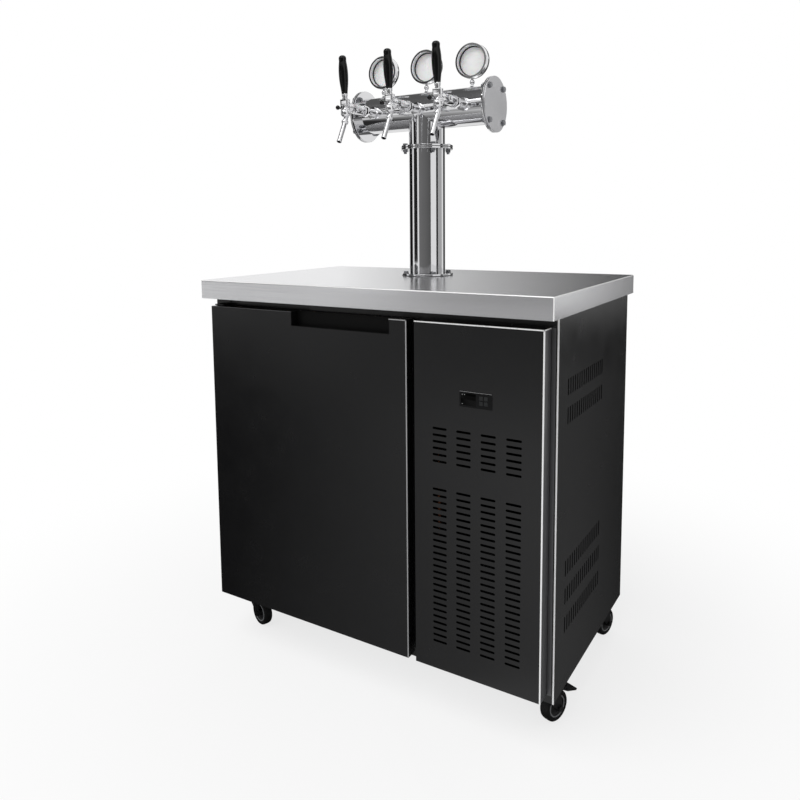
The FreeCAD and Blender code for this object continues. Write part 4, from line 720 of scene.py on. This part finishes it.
# %% Flow levers
flow_offset = -17.3
flow_y = -75.0
ball_radius = 6.0
ball_place = Vector((-3, -37.5, 0))
rod_pattern = united("flow_rod", [
    stand(turned("hub", [(0, 6.8), (0.6, 7.5), (4.8, 7.5), (5.6, 6.9), (5.6, 3.4), (6, 3.0)], 32),
          (0, 0, 0), to_left),
    stand(turned("rod", [(0, 2.2), (22, 2.2), (23, 3.1), (26, 3.1), (27, 2.2), (33, 2.2)], 24),
          (-3, 0, 0), to_front)])
ball_stations = [(-9.5, 2.8), (-6.8, 2.9), (-5.9, 3.0)] + [
    (-ball_radius * math.cos(math.radians(angle)), ball_radius * math.sin(math.radians(angle)))
    for angle in range(35, 176, 10)]
ball_pattern = turned("ball", ball_stations, 32)
for place, x in taps.items():
    centre = Vector((x + flow_offset, flow_y, tee_height))
    flow_rod = stand(twin(rod_pattern, "flow_rod_" + place), centre)
    done(flow_rod, chrome_plate, "flow_control_" + place, "flow_steel", "flow_lever_" + place)
    ball = stand(twin(ball_pattern, "flow_ball_" + place), centre + ball_place, to_front)
    done(ball, phenolic, "flow_control_" + place, "grip_black", "flow_lever_" + place)
scrap(rod_pattern, ball_pattern)
print("flow levers:", len(taps))

# %% [markdown]
# Above each tap stands a medallion, a round frame that shows what the tap pours. The
# frame is a deep chrome hoop with a groove round it, and an opal acrylic disc lies at the
# foot of its recess, held by a black rubber ring. Acrylic lets some light in and scatters
# it, so it looks deeper and softer than white paint: a little subsurface does that.

# %% Medallion patterns
opal_acrylic = grained(
    "opal_acrylic", "#ffffff", "#fbfbfb",
    {"IOR": 1.49, "Subsurface Weight": 0.15, "Subsurface Scale": 0.002}, 3.0, 0.01,
    (0.18, 0.26), 0.05)
hoop_pattern = turned("hoop", [
    (0, 45), (0.8, 45.8), (1.6, 46), (6.5, 46), (7.4, 45), (9.6, 45), (10.5, 46), (20.4, 46),
    (21.5, 45.5), (22, 44.6), (22, 43), (16, 43), (16, 39.2), (1.4, 39.2), (0.6, 39.5),
    (0, 40.2)], 96, hollow=True)
ring_pattern = turned("ring", [
    (0, 39.1), (0, 37.6), (0.5, 37.1), (1.2, 37.1), (1.6, 37.6), (1.6, 39.1)], 96, hollow=True)
disc_pattern = turned("disc", [(0, 42.9), (2.3, 42.9), (3, 42.0)], 96)
back_pattern = turned("back", [(0, 42.9), (1.4, 42.9), (2, 42.2), (2, 30), (1.2, 29)], 96)
stem_pattern = turned("stem", [
    (0, 7.4), (1.4, 7.4), (2.8, 5.8), (4.8, 4.2), (6.6, 3.4), (7.6, 3.2), (8.4, 4.0), (9.6, 5.3),
    (11.4, 6.4), (14.3, 7.0), (17.2, 6.4), (19, 5.3), (20.2, 4.0), (21, 3.2), (22.8, 3.4),
    (24, 5.2), (25.4, 6.0)], 32)
print("hoop faces:", len(hoop_pattern.data.polygons))

# %% [markdown]
# Hoop, back and stem of a medallion are one metal, so they are joined to one piece.

# %% Medallions
medallion_z = 1604.0
stem_y, stem_z = 90, 1534.3
hoop_y, ring_y, disc_y, back_y = 79, 95.1, 98.1, 99
for place, x in taps.items():
    hoop = stand(twin(hoop_pattern, "hoop"), (x, hoop_y, medallion_z), to_back)
    back = stand(twin(back_pattern, "back"), (x, back_y, medallion_z), to_back)
    stem = stand(twin(stem_pattern, "stem"), (x, stem_y, stem_z))
    frame_piece = united("medallion_frame_" + place, [hoop, back, stem])
    done(frame_piece, chrome_plate, "cabinet", "tower_polish", "medallions")
    disc = stand(twin(disc_pattern, "medallion_disc_" + place), (x, disc_y, medallion_z), to_front)
    done(disc, opal_acrylic, "cabinet", "tower_polish", "medallions")
    ring = stand(twin(ring_pattern, "medallion_ring_" + place), (x, ring_y, medallion_z), to_front)
    done(ring, seal_vinyl, "cabinet", "seal_rubber", "medallions")
scrap(hoop_pattern, ring_pattern, disc_pattern, back_pattern, stem_pattern)
print("medallions:", len(taps))

# %% [markdown]
# A caster wheel is three things: a tread of hard rubber with rounded shoulders, a dished
# black nylon hub with a boss, and a grey ring on either side where the two meet: a painted
# highlight where the hub's rim would catch the light. They are separate pieces, because
# they are separate materials.

# %% Wheel patterns
tread_pattern = turned("tread", [
    (-9.4, 27), (-11.3, 28), (-12, 30), (-12, 32.6), (-11.2, 35), (-9.4, 36.6), (-6.5, 37.3),
    (-2.2, 37.5), (2.2, 37.5), (6.5, 37.3), (9.4, 36.6), (11.2, 35), (12, 32.6), (12, 30),
    (11.3, 28), (9.4, 27)], 72, hollow=True)
hub_outline = [
    (-15.6, 8.4), (-15.2, 9), (-8.4, 9.3), (-7.2, 10.6), (-7, 12), (-7, 20.4), (-8, 21.8),
    (-10.4, 22.3), (-11, 23), (-11, 25.8), (-10.2, 27)]
hub_stations = hub_outline + [(-height, radius) for height, radius in reversed(hub_outline)]
hub_pattern = turned("hub", hub_stations, 72)
rim_highlight_outline = [(11.0, 23.1), (11.5, 23.4), (11.9, 24.0), (11.9, 25.4), (11.5, 26.0), (11.0, 26.3)]
rim_highlight_pattern = united("rim_highlights", [
    turned("rim_highlight_outer", rim_highlight_outline, 72, hollow=True),
    turned("rim_highlight_inner", [(-height, radius) for height, radius in rim_highlight_outline], 72, hollow=True)])
print("tread faces:", len(tread_pattern.data.polygons))

# %% [markdown]
# A caster trails. The axle lies 33 mm from the post that it swivels on, on the side to
# which the fork points, and stands square to that direction.

# %% Caster wheels
caster_trail = 33
axle_z = 37.5
swivels = {
    "front_right": (447, -200, 70), "front_left": (-447, -200, -17),
    "back_right": (447, 225, 75), "back_left": (-447, 225, -100)}
for place, (x, y, degrees) in swivels.items():
    heading = math.radians(degrees)
    centre = (x + caster_trail * math.cos(heading), y + caster_trail * math.sin(heading), axle_z)
    axle = towards((-math.sin(heading), math.cos(heading), 0))
    tread = stand(twin(tread_pattern, "tread_" + place), centre, axle)
    done(tread, tyre_rubber, "wheel_" + place, "caster_tyre", "caster_wheel_" + place)
    hub = stand(twin(hub_pattern, "hub_" + place), centre, axle)
    done(hub, hub_nylon, "wheel_" + place, "caster_tyre", "caster_wheel_" + place)
    # The grey rings are a painted highlight.
    rim_highlights = stand(twin(rim_highlight_pattern, "rim_highlights_" + place), centre, axle)
    done(rim_highlights, rim_highlight_grey, "wheel_" + place, "caster_tyre", "caster_wheel_" + place)
scrap(tread_pattern, hub_pattern, rim_highlight_pattern)
print("wheels:", len(swivels))

# %% [markdown]
# The front edges of the panels get a painted highlight along the top and the right: a
# near-white line 3 mm wide where the edge would catch the light. Each is a long thin block
# with softened edges, laid on the edge it belongs to. The door's top edge, the folded side
# of the panel and the corner post beside it get a fainter painted sheen in dark grey, and
# the door's right edge and the controller's bezel one in mid grey.

# %% Painted edge highlights
edge_bevel = 0.4
# Near-white, grey and dark grey: painted highlight and sheen for the edges.
painted_highlight_white = streaked(
    "painted_highlight_white", "#fafafa", "#f0f0f0", {"Metallic": 0.25}, 1.5, 2, (0.25, 0.35), 0.1)
painted_highlight_grey = streaked(
    "painted_highlight_grey", "#a8a8a9", "#9a9a9b", {"Metallic": 0.25}, 1.5, 2, (0.35, 0.45), 0.1)
painted_sheen_dark = grained("painted_sheen_dark", "#48484a", "#3e3e40", {"IOR": 1.5}, 1.8, 0.03, (0.4, 0.5), 0.2)
painted_edge_highlights = {
    "panel_edge_highlight": ("cabinet", painted_highlight_white, [
        ((166, -313.9, 951.3), (477.7, -311.9, 954.1)),
        ((474.3, -313.9, 128), (477.7, -311.9, 954.1)),
        ((475.3, -313.4, 951.7), (477.7, -275, 954.1))]),
    "side_edge_highlight": ("cabinet", painted_highlight_white, [((490.4, -273.8, 110), (493.7, -271.0, 974.6))]),
    "panel_side_sheen": ("cabinet", painted_sheen_dark, [((476.9, -311.9, 128), (477.5, -274, 951.7))]),
    "corner_post_sheen": ("cabinet", painted_sheen_dark, [((477.7, -273.5, 128), (487.6, -272.8, 954))]),
    "bezel_edge_highlight": ("cabinet", painted_highlight_grey, [((282.8, -315.2, 803.6), (360.2, -313.6, 804.4))]),
    "door_top_edge_sheen": ("door", painted_sheen_dark, [((-474.0, -313.8, 952.4), (-194, -312.4, 953.9))]),
    "door_edge_highlight": ("door", painted_highlight_grey, [
        ((98, -313.9, 951.7), (145.7, -311.9, 954.1)),
        ((142.9, -313.9, 128), (145.7, -311.9, 954.1))]),
}
# Every strip here is a painted highlight or sheen laid on an edge.
for name, (body, metal, corners) in painted_edge_highlights.items():
    strips = [softened(block(name, low, high), edge_bevel) for low, high in corners]
    strip = united(name, strips) if len(strips) > 1 else strips[0]
    done(strip, metal, body, "black_sheet")
print("bright edges:", len(painted_edge_highlights))

# %% [markdown]
# The controller's display is a lens of black tinted acrylic in its recess, glossier than
# the housing. Three small lamps shine through it when they are lit; here they are off
# and look like grey dots.

# %% Controller
tinted_acrylic = grained(
    "tinted_acrylic", "#010101", "#020202", {"IOR": 1.49, "Specular IOR Level": 0.1}, 8.0, 0.005,
    (0.03, 0.06), 0.05)
lamp_grey = grained("lamp_grey", "#8c8c8c", "#7c7c7c", {"IOR": 1.45}, 0.6, 0.02, (0.4, 0.5))
lens = softened(block("display_lens", (286.6, -315.1, 773.6), (322.4, -314.4, 800.4)), 0.2)
done(lens, tinted_acrylic, "cabinet", "controller_black")
dots = [stand(turned("lamp_dot", [(0, 1.0), (0.25, 1.0), (0.4, 0.7)], 20),
              (x, -315.0, z), to_front)
        for x, z in ((289.5, 797.6), (295, 797.6), (289.5, 776.4))]
done(united("display_lamps", dots), lamp_grey, "cabinet", "controller_black")
print("lamps:", len(dots))

# %% [markdown]
# Behind the rear and side louvres hang screens of black polyester mesh in a folded frame.
# They are painted shade: dark sheets that keep the louvres black and stop daylight from
# shining through the bay. The real threads are half a millimetre apart and are drawn as
# coarse as the fins, as two waves that cross: one follows the height, the other the sum of
# X and Y, which runs along a rear screen and a side one alike.

# %% Woven polyester for the shade screens
shade_screen_mesh, woven_shader = new_finish(
    "shade_screen_mesh", "#0a0a0a", {"Roughness": 0.8, "Specular IOR Level": 0.2})
thread_place = add_node(shade_screen_mesh, "ShaderNodeSeparateXYZ", {
    0: add_node(shade_screen_mesh, "ShaderNodeTexCoord").outputs["Object"]})
thread_run = add_node(shade_screen_mesh, "ShaderNodeMath", {
    0: thread_place.outputs[0], 1: thread_place.outputs[1]}, operation="ADD")
thread_grid = add_node(shade_screen_mesh, "ShaderNodeCombineXYZ", {
    0: thread_run.outputs[0], 2: thread_place.outputs[2]})
warp, weft = [add_node(shade_screen_mesh, "ShaderNodeTexWave", {
    "Vector": thread_grid.outputs[0], "Scale": wave_scale}, bands_direction=axis).outputs[1]
    for axis in ("X", "Z")]
crossing = add_node(shade_screen_mesh, "ShaderNodeMath", {
    0: warp, 1: weft}, operation="MULTIPLY").outputs[0]
# The two weave colours tint a near-black sheet that is painted shade.
tinted_relief(shade_screen_mesh, woven_shader, crossing, ("#040404", "#171717"),
              crossing, 0.0006, 0.6)
print("woven nodes:", len(shade_screen_mesh.node_tree.nodes))

# %% [markdown]
# Frame and mesh of a screen are one sheet: a thin block whose two broad faces are inset
# and pressed in.

# %% Screens of painted shade
screen_border = 10
screen_sink = 1.2
screen_edge = 5
screens = {
    "shade_screen_rear": ((178, 284.5, 628), (472, 288.2, 847), Vector((0, 1, 0))),
    "shade_screen_upper": ((486.8, -214, 718), (490.5, 66, 848), Vector((1, 0, 0))),
    "shade_screen_lower": ((486.8, -214, 222), (490.5, 66, 430), Vector((1, 0, 0)))}
for name, (low, high, facing) in screens.items():
    screen = block(name, low, high)
    bpy.ops.object.mode_set(mode="EDIT")
    for outwards in (facing, -facing):
        select_faces(screen, lambda centre, normal: normal.dot(outwards) > 0.9 and not any(
            abs(centre[axis] - end[axis]) < screen_edge
            for end in (low, high) for axis in (0, 1, 2) if not facing[axis]))
        bpy.ops.mesh.inset(thickness=mm(screen_border))
        bpy.ops.mesh.extrude_region_move(
            TRANSFORM_OT_translate={"value": outwards * -mm(screen_sink)})
    bpy.ops.object.mode_set(mode="OBJECT")
    softened(screen, edge_bevel)
    done(screen, shade_screen_mesh, "cabinet", "moulded_black")
print("dust screens:", len(screens))

# %% [markdown]
# Six black pan-head screws hold the rear service panel. Each head is a low dome with a
# small round recess.

# %% Panel screws
screw_pattern = turned("screw", [
    (0, 4.8), (0.6, 4.75), (1.5, 4.2), (2.2, 3.2), (2.5, 2.2), (2.5, 1.7), (1.1, 1.6)], 24)
panel_back = 289.9
screws = [stand(twin(screw_pattern, "screw"), (x, panel_back, z), to_back)
          for x in (168, 482) for z in (130, 542, 955)]
done(united("panel_screws", screws), black_zinc, "cabinet", "fastener_steel")
scrap(screw_pattern)
print("panel screws:", len(screws))

# %% [markdown]
# The studio. A pale floor runs back and fades into a white surround, as a paper sweep
# does. Plain daylight comes from all round, and one broad lamp gives the object its
# shape. Rays that show the background itself, seen, mirrored or through glass, find pure
# white. All others find a softer daylight, which lights the object.

# %% White surround
daylight = 0.55
pure_white = linear("#ffffff")


def shows_background(owner):
    """One for camera, glossy and transmission rays, nought for those that carry light."""
    rays = add_node(owner, "ShaderNodeLightPath").outputs
    direct = add_node(owner, "ShaderNodeMath", {
        0: rays["Is Camera Ray"], 1: rays["Is Glossy Ray"]}, operation="MAXIMUM")
    clear = add_node(owner, "ShaderNodeMath", {
        0: direct.outputs[0], 1: rays["Is Transmission Ray"]}, operation="MAXIMUM")
    return clear.outputs[0]


world = bpy.data.worlds.new("surround")
bpy.context.scene.world = world
world.use_nodes = True
ambient = add_node(world, "ShaderNodeBackground", {"Color": pure_white, "Strength": daylight})
backdrop = add_node(world, "ShaderNodeBackground", {"Color": pure_white, "Strength": 1.0})
seen = add_node(world, "ShaderNodeMixShader", {
    0: shows_background(world), 1: ambient.outputs[0], 2: backdrop.outputs[0]})
join_up(world, seen.outputs[0], world.node_tree.nodes["World Output"].inputs["Surface"])
print("daylight strength:", daylight)

# %% [markdown]
# The floor is matt paper with a faint tooth. Near the object it keeps some of its own
# shade, so that a soft shadow shows, and further out it fades to the pure white of the
# surround.

# %% Pale floor
floor_size = 60
fade_start, fade_end = 0.6, 1.8
nearest_white = 0.76
bpy.ops.mesh.primitive_plane_add(size=floor_size, location=(0, 0, -0.0005))
floor = bpy.context.object
floor.name = "floor"
paper, paper_shader = new_finish("floor_paper", "#f2f2f2", {"Roughness": 0.9})
paper_place = add_node(paper, "ShaderNodeNewGeometry").outputs["Position"]
paper_grain = add_node(paper, "ShaderNodeTexNoise", {"Vector": paper_place, "Scale": 300.0})
paper_relief = add_node(paper, "ShaderNodeBump", {
    "Height": paper_grain.outputs[0], "Distance": 0.0003, "Strength": 0.2})
join_up(paper, paper_relief.outputs[0], paper_shader.inputs["Normal"])
away = add_node(paper, "ShaderNodeVectorMath", {0: paper_place}, operation="LENGTH")
fade = add_node(paper, "ShaderNodeMapRange", {
    "Value": away.outputs["Value"], "From Min": fade_start, "From Max": fade_end,
    "To Min": nearest_white, "To Max": 1.0}, interpolation_type="SMOOTHSTEP")
white_share = add_node(paper, "ShaderNodeMath", {
    0: fade.outputs[0], 1: shows_background(paper)}, operation="MULTIPLY")
paper_glow = add_node(paper, "ShaderNodeEmission", {"Color": pure_white, "Strength": 1.0})
paper_mix = add_node(paper, "ShaderNodeMixShader", {
    0: white_share.outputs[0], 1: paper_shader.outputs[0], 2: paper_glow.outputs[0]})
join_up(paper, paper_mix.outputs[0], paper.node_tree.nodes["Material Output"].inputs["Surface"])
floor.data.materials.append(paper)
print("floor nodes:", len(paper.node_tree.nodes))

# %% [markdown]
# The lamp stands to the upper left in front. It is broad, fifty degrees across, so that
# the edges of its shadows are soft.

# %% Lamp
lamp_direction = Vector((0.35, 0.75, -1.1))
sun = bpy.data.lights.new("broad_lamp", "SUN")
sun.energy = 1.5
sun.angle = math.radians(50)
lamp = bpy.data.objects.new("broad_lamp", sun)
bpy.context.scene.collection.objects.link(lamp)
lamp.rotation_euler = lamp_direction.to_track_quat("-Z", "Y").to_euler()
print("lamp strength:", sun.energy)

# %% [markdown]
# Fifteen dark and grey cards stand where polished metal mirrors them: bright metal in a
# white room looks like fog until it has something dark to show. The cards are seen in
# reflections alone.

# %% Dark cards
def dark_card(name, size, centre, tilt, heading, greys, fade=(-0.5, 0.5)):
    """A card that only reflections show. Tilt 0 lays it face up, 90 stands it facing -Y, and
    heading then turns it about Z. Its grey runs from the first to the second along its
    width, over the fade, which is given as a share of the width on either side of zero."""
    bpy.ops.mesh.primitive_plane_add(size=1, location=centre)
    card = bpy.context.object
    card.name = name
    card.scale = (size[0], size[1], 1)
    card.rotation_euler = (math.radians(tilt), 0, math.radians(heading))
    shade = bpy.data.materials.new(name + "_shade")
    shade.use_nodes = True
    card_place = add_node(shade, "ShaderNodeTexCoord").outputs["Object"]
    across = add_node(shade, "ShaderNodeSeparateXYZ", {0: card_place})
    grey = add_node(shade, "ShaderNodeMapRange", {
        "Value": across.outputs["X"], "From Min": fade[0], "From Max": fade[1],
        "To Min": greys[0], "To Max": greys[1]})
    glow = add_node(shade, "ShaderNodeEmission", {
        "Color": pure_white, "Strength": grey.outputs[0]})
    join_up(shade, glow.outputs[0], shade.node_tree.nodes["Material Output"].inputs["Surface"])
    card.data.materials.append(shade)
    card.visible_camera = False
    card.visible_diffuse = False
    card.visible_shadow = False
    card.visible_transmission = False


cards = {
    "card_left": ((2.35, 2.5), (-3.2, 0.52, 2.0), 90, 90, (0.01, 0.01)),
    "card_front_left": ((1.8, 2.4), (-2.74, -2.27, 2.05), 90, 131, (0.02, 0.02)),
    "card_front": ((5.34, 1.72), (1.27, -3.0, 1.59), 90, 180, (0.1, 0.2)),
    "card_front_top": ((1.6, 0.5), (-2.2, -3.0, 2.2), 90, 180, (0.05, 0.05)),
    "card_front_low": ((10.0, 0.72), (-0.25, -3.0, 0.37), 90, 180, (0.46, 1.5), (0.15, 0.36)),
    "card_front_foot": ((2.1, 0.45), (-3.45, -2.99, 0.225), 90, 180, (0.5, 0.02), (-0.5, -0.1)),
    "card_right_strip": ((0.74, 2.5), (3.2, 0.4, 2.0), 90, 270, (0.02, 0.02)),
    "card_right": ((2.73, 2.5), (3.2, 2.14, 2.0), 90, 270, (0.5, 0.5)),
    "card_above": ((2.6, 6.7), (-2.0, 0.15, 4.0), 180, 0, (0.12, 0.12)),
    "card_behind": ((4.2, 3.4), (-1.1, 4.2, 1.7), 90, 0, (0.95, 0.08), (-0.5, 0.12)),
    "card_back_right": ((1.4, 2.185), (1.7, 4.2, 1.4575), 90, 0, (0.02, 1.0), (-0.15, 0.2)),
    "card_back_low": ((1.8, 0.36), (1.7, 4.2, 0.175), 90, 0, (0.0, 0.05)),
    "card_back_foot": ((0.95, 0.5), (1.275, 4.19, 0.25), 90, 0, (0.0, 0.0)),
    "card_floor_front": ((6.0, 8.0), (-2.5, -3.4, 0.003), 0, -38.6, (0.03, 0.95), (-0.06, 0.145)),
    "card_floor_right": ((2.4, 8.0), (1.55, 3.6, 0.004), 0, 164, (0.18, 0.01), (-0.05, 0.08)),
}
for name, values in cards.items():
    dark_card(name, *values)
print("cards:", len(cards))

# %% [markdown]
# Last, the view layer is brought up to date. No added piece reaches out of the box of the
# CAD model.

# %% Bring the scene up to date
bpy.context.view_layer.update()
